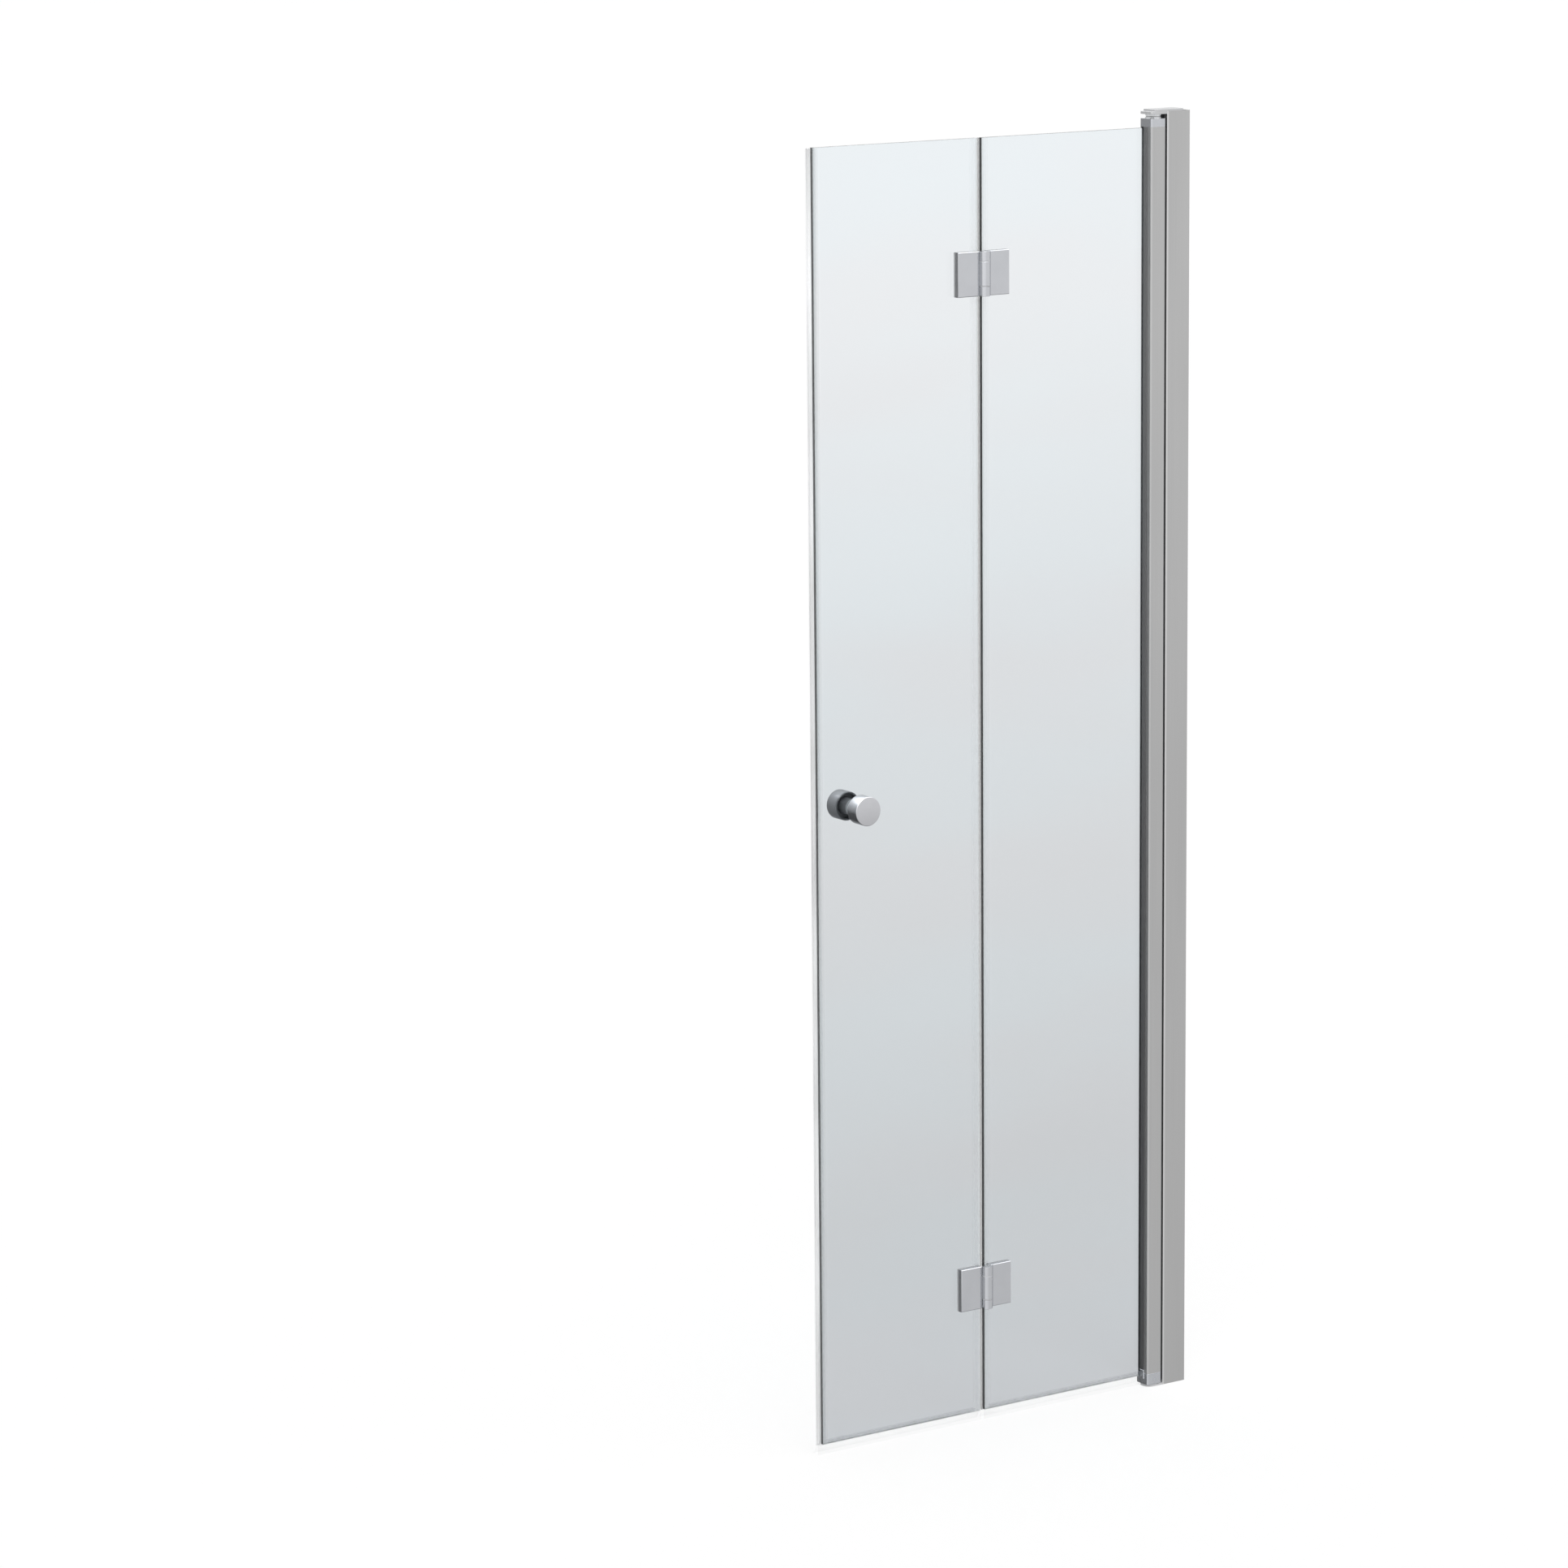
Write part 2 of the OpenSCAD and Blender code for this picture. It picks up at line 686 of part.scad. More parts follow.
// Pad between a leaf and the glass, with holes for the screws and their sleeves
module leaf_pad(zc) {
    color("lightgray") translate([0, 0, zc]) difference() {
        leaf_plate(leaf_y + leaf_t, -half_t, 0);
        for (s = [-1, 1]) outwards(fold_x - leaf_mid, s * leaf_screw_pitch / 2)
            cylinder(h = half_t + pad_t + cut, r = sleeve_r);
    }
}

module mirrored_at_fold() {
    translate([fold_x, 0, 0]) mirror([1, 0, 0]) translate([-fold_x, 0, 0]) children();
}

module hinge_pins() {
    color("silver") for (zc = hinge_z) translate([fold_x, fold_y, zc - hinge_h / 2])
        cylinder(h = hinge_h, r = hinge_pin_r);
}

module hinge_washers() {
    z = mid_knuckle_h / 2 + run_gap;
    color("whitesmoke") for (zc = hinge_z) for (z0 = [z, -z - hinge_washer_t])
        translate([fold_x, fold_y, zc + z0]) difference() {
            cylinder(h = hinge_washer_t, r = barrel_r - 0.4);
            translate([0, 0, -cut]) cylinder(h = hinge_washer_t + 2 * cut, r = hinge_pin_r + hinge_pin_play);
        }
}

// Screw from the shower side through the glass into a leaf, head flush with the glass
module glass_screws(side) {
    len = glass_t + pad_t + thread_depth - 0.5;
    head_r = sink_r - cone_t - 0.05;
    color("silver") for (zc = hinge_z) for (s = [-1, 1]) {
        outwards(fold_x + side * leaf_mid, zc + s * leaf_screw_pitch / 2) translate([0, 0, -half_t])
            difference() {
                union() {
                    cylinder(h = head_r - stud_r, r1 = head_r, r2 = stud_r);
                    cylinder(h = len, r = stud_r);
                }
                translate([0, 0, -cut]) cylinder(h = socket_depth + cut, r = socket_r, $fn = 6);
            }
    }
}

// Soft cone and sleeve that keep a glass screw off the glass
module cone_washers(side) {
    color("whitesmoke") for (zc = hinge_z) for (s = [-1, 1]) {
        outwards(fold_x + side * leaf_mid, zc + s * leaf_screw_pitch / 2) translate([0, 0, -half_t])
            rotate_extrude() polygon([[sink_r - cone_t, 0], [sink_r, 0], [glass_hole_r, sink_r - glass_hole_r],
                [glass_hole_r, glass_t], [sleeve_r, glass_t], [sleeve_r, sink_r - cone_t - sleeve_r]]);
    }
}

// ---- knobs ----

// Turned knob on its own axis, glass face at z = 0
module knob() {
    r = knob_d / 2;
    back = knob_reach - knob_head_l;
    inner = r - knob_wall;
    color("silver") rotate_extrude() polygon([[stud_r, knob_washer_t], [neck_d / 2, knob_washer_t],
        [neck_d / 2, back + knob_recess], [inner, back + knob_recess], [inner, back],
        [r - bevel, back], [r, back + bevel], [r, knob_reach - bevel], [r - bevel, knob_reach],
        [0, knob_reach], [0, stud_bite + 1], [stud_r, stud_bite + 1]]);
}

module front_knob() {
    outwards(outer_x0 + knob_inset, knob_z) translate([0, 0, half_t]) knob();
}

module rear_knob() {
    inwards(outer_x0 + knob_inset, knob_z) translate([0, 0, half_t]) knob();
}

module knob_stud() {
    color("silver") outwards(outer_x0 + knob_inset, knob_z) translate([0, 0, -half_t - stud_bite])
        cylinder(h = glass_t + 2 * stud_bite, r = stud_r);
}

module knob_ring(sleeve) {
    color("whitesmoke") difference() {
        union() {
            translate([0, 0, half_t]) cylinder(h = knob_washer_t, r = neck_d / 2);
            translate([0, 0, half_t - sleeve]) cylinder(h = sleeve + 0.2, r = glass_hole_r - 0.1);
        }
        translate([0, 0, -half_t - cut]) cylinder(h = glass_t + 4 * cut, r = sleeve_r);
    }
}

module front_knob_washer() {
    outwards(outer_x0 + knob_inset, knob_z) knob_ring(glass_t - 0.4);
}

module rear_knob_washer() {
    inwards(outer_x0 + knob_inset, knob_z) knob_ring(0.1);
}

wall_profile();
adjust_profile();
gap_gasket();
top_bracket();
bottom_bracket();
top_bush();
bottom_pin();
bracket_screws();
adjust_screws();
pivot_profile();
top_cap();
bottom_cap();
top_pin();
bottom_bush();
cap_screws();
glazing_gasket();
inner_glass();
inner_fold_seal();
inner_drip_seal();
inner_leaf(hinge_z[1]);  // inner_leaf_upper
inner_leaf(hinge_z[0]);  // inner_leaf_lower
mirrored_at_fold() leaf_pad(hinge_z[1]);  // inner_pad_upper
mirrored_at_fold() leaf_pad(hinge_z[0]);  // inner_pad_lower
hinge_pins();
hinge_washers();
glass_screws(1);  // inner_glass_screws
cone_washers(1);  // inner_cone_washers
outer_glass();
outer_fold_seal();
outer_drip_seal();
edge_seal();
magnet_strip();
outer_leaf(hinge_z[1]);  // outer_leaf_upper
outer_leaf(hinge_z[0]);  // outer_leaf_lower
leaf_pad(hinge_z[1]);  // outer_pad_upper
leaf_pad(hinge_z[0]);  // outer_pad_lower
glass_screws(-1);  // outer_glass_screws
cone_washers(-1);  // outer_cone_washers
front_knob();
rear_knob();
knob_stud();
front_knob_washer();
rear_knob_washer();
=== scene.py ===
import bpy
import bmesh
import math
from mathutils import Matrix, Vector


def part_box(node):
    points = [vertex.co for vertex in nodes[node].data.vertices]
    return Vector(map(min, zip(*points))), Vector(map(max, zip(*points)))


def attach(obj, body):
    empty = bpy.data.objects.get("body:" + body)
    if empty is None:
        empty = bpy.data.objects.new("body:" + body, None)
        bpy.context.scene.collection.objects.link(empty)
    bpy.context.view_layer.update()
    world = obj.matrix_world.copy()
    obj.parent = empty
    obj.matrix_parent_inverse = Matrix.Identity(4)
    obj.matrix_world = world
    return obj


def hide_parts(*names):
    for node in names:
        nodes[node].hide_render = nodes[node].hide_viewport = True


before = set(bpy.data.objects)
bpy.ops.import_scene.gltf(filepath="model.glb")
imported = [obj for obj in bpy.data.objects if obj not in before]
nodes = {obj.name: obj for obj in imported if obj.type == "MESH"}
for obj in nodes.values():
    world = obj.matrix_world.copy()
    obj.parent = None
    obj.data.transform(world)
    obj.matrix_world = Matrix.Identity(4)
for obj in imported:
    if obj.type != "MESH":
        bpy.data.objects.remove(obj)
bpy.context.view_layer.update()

scene = bpy.context.scene
print("frame loaded:", len(nodes), "nodes")

# places and sizes in metres that several pieces share
# X runs along the door to the wall, Y into the shower and Z up
door = {
    "glassHalf": 0.003, "glassBottom": 0.015, "glassTop": 1.923,
    "freeX": -0.3275, "foldX": -0.0355, "foldHalf": 0.004, "wallX": 0.280, "mouthX": 0.2955,
    "hingeZ": (0.21, 1.728), "knobX": -0.2635, "knobZ": 0.966,
}
weldGap = 2e-6                                                     # points nearer than this are one
stripGap = 1e-6                                                    # the same where a strip is drawn


# small helpers for shader and geometry trees

def put(tree, socket, value):
    # a link, a plain value, or a colour that still lacks its alpha
    if isinstance(value, Wire):
        tree.links.new(value.socket, socket)
    elif hasattr(value, "__len__") and not isinstance(value, str) and len(value) < len(socket.default_value):
        socket.default_value = [*value, 1.0]
    else:
        socket.default_value = value


class Wire:
    # one output socket that can be used in sums
    def __init__(self, tree, socket):
        self.tree, self.socket = tree, socket

    def maths(self, operation, *values):
        n = self.tree.nodes.new("ShaderNodeMath")
        n.operation = operation
        for i, v in enumerate(values):
            put(self.tree, n.inputs[i], v)
        return Wire(self.tree, n.outputs[0])

    def __add__(self, other):
        return self.maths("ADD", self, other)

    def __radd__(self, other):
        return self.maths("ADD", other, self)

    def __sub__(self, other):
        return self.maths("SUBTRACT", self, other)

    def __rsub__(self, other):
        return self.maths("SUBTRACT", other, self)

    def __mul__(self, other):
        return self.maths("MULTIPLY", self, other)

    def __rmul__(self, other):
        return self.maths("MULTIPLY", other, self)

    def __truediv__(self, other):
        return self.maths("DIVIDE", self, other)

    def __abs__(self):
        return self.maths("ABSOLUTE", self)

    def below(self, edge):
        return self.maths("LESS_THAN", self, edge)

    def above(self, edge):
        return self.maths("GREATER_THAN", self, edge)

    def atLeast(self, other):
        return self.maths("MAXIMUM", self, other)

    def atMost(self, other):
        return self.maths("MINIMUM", self, other)


class Tree:
    # a node tree with one way to add a node: its type, its settings, then its sockets
    def __init__(self, tree):
        self.tree = tree

    def node(self, kind, settings=None, values=None, output=0):
        n = self.tree.nodes.new(kind)
        for key, value in (settings or {}).items():
            if key == "stops":
                ramp = n.color_ramp.elements
                while len(ramp) < len(value):
                    ramp.new(0.5)
                for stop, (place, colour) in zip(ramp, value):
                    stop.position, stop.color = place, (*colour, 1)
            else:
                setattr(n, key, value)
        for key, value in (values or {}).items():
            put(self.tree, n.inputs[key], value)
        return Wire(self.tree, n.outputs[output])

    def smooth(self, value, low, high):
        return self.node("ShaderNodeMapRange", {"interpolation_type": "SMOOTHSTEP"},
                         {0: value, 1: low, 2: high, 3: 0.0, 4: 1.0})

    def mixColour(self, factor, a, b, blend="MIX"):
        return self.node("ShaderNodeMix", {"data_type": "RGBA", "blend_type": blend},
                         {0: factor, 6: a, 7: b}, 2)

    def join(self, *parts):
        n = self.tree.nodes.new("GeometryNodeJoinGeometry")
        for part in reversed(parts):
            self.tree.links.new(part.socket, n.inputs[0])
        return Wire(self.tree, n.outputs[0])


class Finish(Tree):
    # a material whose patterns read the piece's own coordinates
    def __init__(self, name):
        self.material = bpy.data.materials.new(name)
        self.material.use_nodes = True
        super().__init__(self.material.node_tree)
        self.tree.nodes.clear()
        self.out = self.tree.nodes.new("ShaderNodeOutputMaterial")
        self.place = self.node("ShaderNodeTexCoord", output=3)

    def noise(self, scale, detail=3.0, rough=0.55, turn=(0, 0, 0)):
        # scale says how many blots fit in a metre along X, Y and Z
        spread = self.node("ShaderNodeMapping", None,
                           {"Vector": self.place, "Rotation": turn, "Scale": scale})
        return self.node("ShaderNodeTexNoise", None,
                         {"Vector": spread, "Scale": 1.0, "Detail": detail, "Roughness": rough})

    def clouded(self, cloud, colour, deeper, low=0.3, high=0.7):
        # the colour and a slightly deeper one in soft clouds
        return self.mixColour(self.smooth(cloud, low, high), colour, times(colour, deeper))

    def axis(self, index):
        return self.node("ShaderNodeSeparateXYZ", None, {0: self.place}, index)

    def uneven(self, look, pattern):
        # a roughness that swings around its middle with a pattern
        return look["rough"] + (pattern - 0.5) * look["roughSwing"]

    def surface(self, **values):
        names = {key.replace("_", " "): value for key, value in values.items()}
        return self.node("ShaderNodeBsdfPrincipled", None, names)

    def coated(self, look, tint, metal, rough, height, alpha=1.0):
        # how most finishes end: a pattern stands up from the surface, and alpha says how much it covers
        bump = self.node("ShaderNodeBump", None,
                         {"Height": height, "Strength": look["relief"], "Distance": look["depth"]})
        return self.done(self.surface(Base_Color=tint, Metallic=metal, Roughness=rough, Alpha=alpha,
                                      Normal=bump))

    def done(self, shader):
        self.tree.links.new(shader.socket, self.out.inputs["Surface"])
        return self.material


def times(colour, factor):
    return [c * factor for c in colour]


# what the looks share: "rough" and "roughSwing" for the gloss, "relief" and "depth" (in metres) for
# the pattern that stands up, and how many blots of each pattern fit in a metre along X, Y and Z

# satin profiles: fine drawing lines along the profile, and soft clouds

profileLook = {
    "pale": (0.67, 0.67, 0.67), "deep": (0.615, 0.615, 0.615), "lineShare": 0.35,
    "lines": (900, 900, 3), "clouds": (6, 6, 1.6),
    "rough": 0.34, "roughSwing": 0.12, "relief": 0.25, "depth": 0.00002,
}
# the wall profile has a painted highlight along its mouth, a bright line where its rounded edge would catch
# the light
wallLook = {**profileLook, "arris": door["mouthX"], "arrisCore": 0.0008, "arrisFade": 0.0022,
            "paintedHighlight": (0.86, 0.86, 0.86)}
# the inner profile is painted near black: painted shade for the gap between the profiles, where it is seen
innerShadedLook = {**profileLook, "pale": (0.10, 0.10, 0.105), "deep": (0.07, 0.07, 0.075), "rough": 0.5}


def satinAluminium(name, look):
    f = Finish(name)
    lines = f.noise(look["lines"], 4.0, 0.6)
    cloud = f.noise(look["clouds"], 2.0)
    tone = lines * look["lineShare"] + cloud * (1 - look["lineShare"])
    colour = f.mixColour(f.smooth(tone, 0.3, 0.7), look["deep"], look["pale"])
    if "arris" in look:                                            # a painted highlight: the bright line along the mouth's rounded edge
        away = abs(f.axis(0) - look["arris"])
        line = 1 - f.smooth(away, look["arrisCore"], look["arrisFade"])
        colour = f.mixColour(line, colour, look["paintedHighlight"])
    return f.coated(look, colour, 1.0, f.uneven(look, lines), lines)


# chrome: painted shade, darker or duller, around the hinge barrels and in the neck of a knob

barrelShade = {
    # painted shade in the crease on both sides of a barrel, and beside the one on the wall's side
    "crease": (0.52, 0.53, 0.55), "creaseOut": 0.0078, "creaseCore": 0.00054, "creaseFade": 0.0009,
    "beside": (0.56, 0.575, 0.61), "besideOut": 0.0112, "besideCore": 0.0008, "besideFade": 0.0018,
    # painted shade on the upper faces, where it tones down their highlight, in the seam under each middle
    # knuckle, and on the ends of the leaves, which are also less metal
    "top": (0.62, 0.63, 0.66), "topUp": 0.0325, "topHalf": 0.0004,
    "seam": (0.40, 0.41, 0.43), "seamDown": 0.018, "seamHalf": 0.0009,
    "side": (0.27, 0.275, 0.285), "sideOut": 0.0457, "sideDull": 0.6,
}
# painted shade in a knob's neck and recess: dark grey and without metal
knobThroatShade = {"colour": (0.16, 0.162, 0.168), "radius": 0.0208, "reach": 0.0256}


def aroundBarrel(f, tint, metal, look):
    # all these marks are painted shade, laid over the chrome's own tint
    fromBarrel = f.axis(0) - door["foldX"]
    away = abs(abs(fromBarrel) - look["creaseOut"])
    tint = f.mixColour(1 - f.smooth(away, look["creaseCore"], look["creaseFade"]), tint, look["crease"])
    away = abs(fromBarrel - look["besideOut"])
    tint = f.mixColour(1 - f.smooth(away, look["besideCore"], look["besideFade"]), tint, look["beside"])
    for middle in door["hingeZ"]:
        away = abs(f.axis(2) - (middle + look["topUp"]))
        tint = f.mixColour(away.below(look["topHalf"]), tint, look["top"])
    barrel = abs(fromBarrel).below(look["creaseOut"])
    for middle in door["hingeZ"]:
        away = abs(f.axis(2) - (middle - look["seamDown"]))
        tint = f.mixColour(away.below(look["seamHalf"]) * barrel, tint, look["seam"])
    side = abs(fromBarrel).above(look["sideOut"])
    return f.mixColour(side, tint, look["side"]), (1 - side * look["sideDull"]) * metal


def inThroat(f, tint, metal, look):
    # inside the neck and recess the tint is painted shade and the metal goes
    across, up = f.axis(0) - door["knobX"], f.axis(2) - door["knobZ"]
    inside = (across * across + up * up).below(look["radius"] ** 2)
    inside = inside * abs(f.axis(1)).below(look["reach"])
    return f.mixColour(inside, tint, look["colour"]), (1 - inside) * metal


chromeLook = {"smears": (26, 26, 26), "fine": (420, 420, 420), "deeper": 0.95, "smearRough": 0.07,
              "relief": 0.08, "depth": 0.00001}
hingeLook = {**chromeLook, "colour": (0.80, 0.815, 0.855), "metal": 1.0, "rough": 0.13}
knobLook = {**chromeLook, "colour": (0.83, 0.835, 0.87), "metal": 1.0, "rough": 0.07}
# the rear knob is a darker, duller copy of the knob's chrome: painted shade for the knob that stands behind
# the pane
rearKnobShadedLook = {**chromeLook, "colour": (0.285, 0.29, 0.30), "metal": 0.5, "rough": 0.36}


def polishedChrome(name, look, shading, shade):
    f = Finish(name)
    smear = f.noise(look["smears"], 5.0, 0.6)                      # faint finger marks
    fine = f.noise(look["fine"], 2.0)
    tint = f.clouded(smear, look["colour"], look["deeper"], 0.35, 0.75)
    tint, metal = shading(f, tint, look["metal"], shade)
    rough = look["rough"] + f.smooth(smear, 0.45, 0.8) * look["smearRough"]
    return f.coated(look, tint, metal, rough, fine)


# cast, moulded and turned pieces

castingLook = {"colour": (0.60, 0.605, 0.615), "deeper": 0.93, "metal": 0.35, "pebbles": (1400, 1400, 1400),
               "clouds": (40, 40, 40), "rough": 0.42, "roughSwing": 0.15, "relief": 0.3, "depth": 0.00002}


def castGrey(name, look):
    f = Finish(name)
    pebble = f.noise(look["pebbles"])
    cloud = f.noise(look["clouds"])
    tint = f.clouded(cloud, look["colour"], look["deeper"])
    return f.coated(look, tint, look["metal"], f.uneven(look, pebble), pebble)


plasticLook = {"deeper": 0.94, "stipple": 1600.0, "clouds": (30, 30, 30), "roughSwing": 0.12,
               "depth": 0.00002}
capLook = {**plasticLook, "colour": (0.74, 0.76, 0.80), "metal": 0.95, "rough": 0.26, "relief": 0.05,
           "bare": (0.56, 0.57, 0.585), "bareAbove": 1.93655}      # the collar has no metal coat
paleLook = {**plasticLook, "colour": (0.72, 0.73, 0.74), "metal": 0.0, "rough": 0.4, "relief": 0.15}


def mouldedPlastic(name, look):
    f = Finish(name)
    stipple = f.node("ShaderNodeTexVoronoi", None, {"Vector": f.place, "Scale": look["stipple"]})
    cloud = f.noise(look["clouds"])
    tint, metal = f.clouded(cloud, look["colour"], look["deeper"]), look["metal"]
    if "bare" in look:
        mask = f.axis(2).above(look["bareAbove"])
        tint, metal = f.mixColour(mask, tint, look["bare"]), (1 - mask) * metal
    return f.coated(look, tint, metal, f.uneven(look, cloud), stipple)


padLook = {"side": (0.40, 0.41, 0.42), "deeper": 0.92, "paintedLitFace": (0.93, 0.93, 0.94), "paintedLitFaceBeyond": -0.00305,
           "clouds": (60, 60, 60), "rough": 0.5, "roughSwing": 0.15, "relief": 0.2, "depth": 0.00003}


def hingePad(name, look):
    # grey at its sides, with the face against the pane painted pale: painted light for a face that gets its
    # light through the glass
    f = Finish(name)
    cloud = f.noise(look["clouds"])
    tint = f.clouded(cloud, look["side"], look["deeper"])
    # painted light on the face against the pane
    tint = f.mixColour(f.axis(1).above(look["paintedLitFaceBeyond"]), tint, look["paintedLitFace"])
    return f.coated(look, tint, 0.0, f.uneven(look, cloud), cloud)


steelLook = {"colour": (0.6, 0.6, 0.59), "deeper": 0.85, "marks": (1800, 1800, 1800), "rough": 0.28,
             "markRough": 0.12, "relief": 0.2, "depth": 0.00001}


def turnedSteel(name, look):
    f = Finish(name)
    marks = f.noise(look["marks"])
    tint = f.mixColour(marks, look["colour"], times(look["colour"], look["deeper"]))
    return f.coated(look, tint, 1.0, look["rough"] + marks * look["markRough"], marks)


# rubber: "film" times the colour plus "filmAdds" is the greyish film that it gets

rubberLook = {"grain": (700, 700, 60), "rough": 0.5, "roughSwing": 0.2, "relief": 0.3, "depth": 0.00003}
darkLook = {**rubberLook, "colour": (0.035, 0.036, 0.038), "blooms": (12, 12, 1.5), "film": 1.9,
            "filmAdds": 0.01}
magnetLook = {**darkLook, "colour": (0.74, 0.745, 0.75)}
gasketLook = {**rubberLook, "low": (0.045, 0.046, 0.048), "high": (0.135, 0.137, 0.14), "lowAt": 0.1,
              "highAt": 1.9, "grainShare": 0.3, "grainPaler": 1.2}


def darkRubber(name, look):
    f = Finish(name)
    grain = f.noise(look["grain"], 4.0, 0.65)
    bloom = f.noise(look["blooms"])
    filmed = [c * look["film"] + look["filmAdds"] for c in look["colour"]]
    tint = f.mixColour(f.smooth(bloom, 0.35, 0.8), look["colour"], filmed)
    return f.coated(look, tint, 0.0, f.uneven(look, grain), grain)


def stripRubber(name, look):
    # soft grey plastic that looks paler towards the top, where it meets more light
    f = Finish(name)
    grain = f.noise(look["grain"], 4.0, 0.65)
    tint = f.mixColour(f.smooth(f.axis(2), look["lowAt"], look["highAt"]), look["low"], look["high"])
    tint = f.mixColour(grain * look["grainShare"], tint, times(look["high"], look["grainPaler"]))
    return f.coated(look, tint, 0.0, f.uneven(look, grain), grain)


# panes: painted light and shade, pale at the top and grey at the bottom, with slanting bands that bend and
# tint it

paneLook = {
    "tints": [(0.0, (0.595, 0.62, 0.645)), (0.17, (0.60, 0.627, 0.648)), (0.42, (0.68, 0.709, 0.730)),
              (0.61, (0.735, 0.767, 0.79)), (0.86, (0.845, 0.878, 0.90)), (1.0, (0.872, 0.905, 0.93))],
    "bands": (1.1, 1.1, 3.4), "bandTurn": -14, "bandPull": 0.14,
    "warmBand": (1.0, 0.984, 0.98), "coolBand": (0.982, 0.997, 1.0),
    "edge": (0.39, 0.422, 0.418), "lip": 0.0055, "lipShade": 0.55,        # painted shade: darker towards the leading edge
    "sideRim": 0.0004, "footRim": 0.0016, "headRim": 0.0006, "rimShade": 0.85, "rimGrain": (40, 40, 40),
    "marks": (9, 9, 5), "rough": 0.012, "markRough": 0.03, "index": 1.48, "specular": 0.2,
    "farEdgeClear": 0.85, "lampLight": (0.90, 0.92, 0.93),
}


def paneGlass(name, leftX, rightX, look):
    f = Finish(name)
    x, z = f.axis(0), f.axis(2)
    height = (z - door["glassBottom"]) / (door["glassTop"] - door["glassBottom"])
    slant = f.noise(look["bands"], 2.0, turn=(0, math.radians(look["bandTurn"]), 0))
    height = height + (slant - 0.5) * look["bandPull"]
    # the painted light and shade runs up the pane's height
    tint = f.node("ShaderNodeValToRGB", {"stops": look["tints"]}, {0: height})
    bands = f.mixColour(f.smooth(slant, 0.35, 0.65), look["warmBand"], look["coolBand"])
    tint = f.mixColour(1.0, tint, bands, "MULTIPLY")
    # painted shade: the face darkens towards its leading edge, and the narrow edge faces take the same dark
    # colour, broken by the grain of a ground edge
    lip = 1 - f.smooth(x - leftX, 0.0, look["lip"])
    tint = f.mixColour(lip * look["lipShade"], tint, look["edge"])
    rim = (x - leftX).below(look["sideRim"])
    rim = rim.atLeast((z - door["glassBottom"]).below(look["footRim"]))
    rim = rim.atLeast((door["glassTop"] - z).below(look["headRim"]))
    ground = f.mixColour(f.smooth(f.noise(look["rimGrain"]), 0.35, 0.7), look["edge"], tint)
    colour = f.mixColour(rim * look["rimShade"], tint, ground)
    marks = f.noise(look["marks"], 5.0, 0.6)
    rough = look["rough"] + f.smooth(marks, 0.55, 0.8) * look["markRough"]
    shine = f.surface(Base_Color=colour, Roughness=rough, Transmission_Weight=1.0, IOR=look["index"],
                      Specular_IOR_Level=look["specular"])
    # lamps shine through the pane, and its far edge shows what lies behind it
    clear = f.node("ShaderNodeBsdfTransparent", None, {0: look["lampLight"]})
    lamp = f.node("ShaderNodeLightPath", None, None, "Is Shadow Ray")
    farEdge = (rightX - x).below(look["sideRim"])
    seeThrough = lamp.atLeast(farEdge * look["farEdgeClear"])
    return f.done(f.node("ShaderNodeMixShader", None, {0: seeThrough, 1: shine, 2: clear}))


# clear seals: the painted shade, darker and more covering, is where the plastic is thick and grips the pane
# and, on the fold seal, where the panels meet, "full" and "none" away from its middle, and the cover runs
# from "least" of the alpha upwards with the haze

sealLook = {"haze": (60, 60, 4), "deeper": 0.96, "least": 0.8, "hazeAdds": 0.4, "rough": 0.22,
            "hazeRough": 0.12, "relief": 0.1, "depth": 0.00005}
edgeLook = {**sealLook, "colour": (0.66, 0.67, 0.68), "alpha": 0.06, "axis": 0,
            "middle": door["freeX"] + 0.002, "full": 0.002, "none": 0.006,
            "shade": (0.40, 0.41, 0.42), "shadeAlpha": 0.05}
dripLook = {**sealLook, "colour": (0.62, 0.63, 0.64), "alpha": 0.03, "axis": 2,
            "middle": 0.0185, "full": 0.0038, "none": 0.0042,
            "shade": (0.30, 0.31, 0.32), "shadeAlpha": 0.06}
# the fold seal's dark shade is painted shade in the fold between the panels
foldLook = {**sealLook, "colour": (0.60, 0.61, 0.62), "alpha": 0.04, "axis": 0,
            "middle": door["foldX"], "full": 0.0004, "none": 0.0022,
            "shade": (0.14, 0.145, 0.15), "shadeAlpha": 0.15}


def clearSeal(name, look):
    f = Finish(name)
    haze = f.noise(look["haze"], 4.0)
    tint = f.clouded(haze, look["colour"], look["deeper"])
    # painted shade around the seal's middle
    away = abs(f.axis(look["axis"]) - look["middle"])
    mask = 1 - f.smooth(away, look["full"], look["none"])
    tint = f.mixColour(mask, tint, look["shade"])
    alpha = look["alpha"]
    cover = alpha * look["least"] + haze * (alpha * look["hazeAdds"]) + mask * look["shadeAlpha"]
    return f.coated(look, tint, 0.0, look["rough"] + haze * look["hazeRough"], haze, cover)


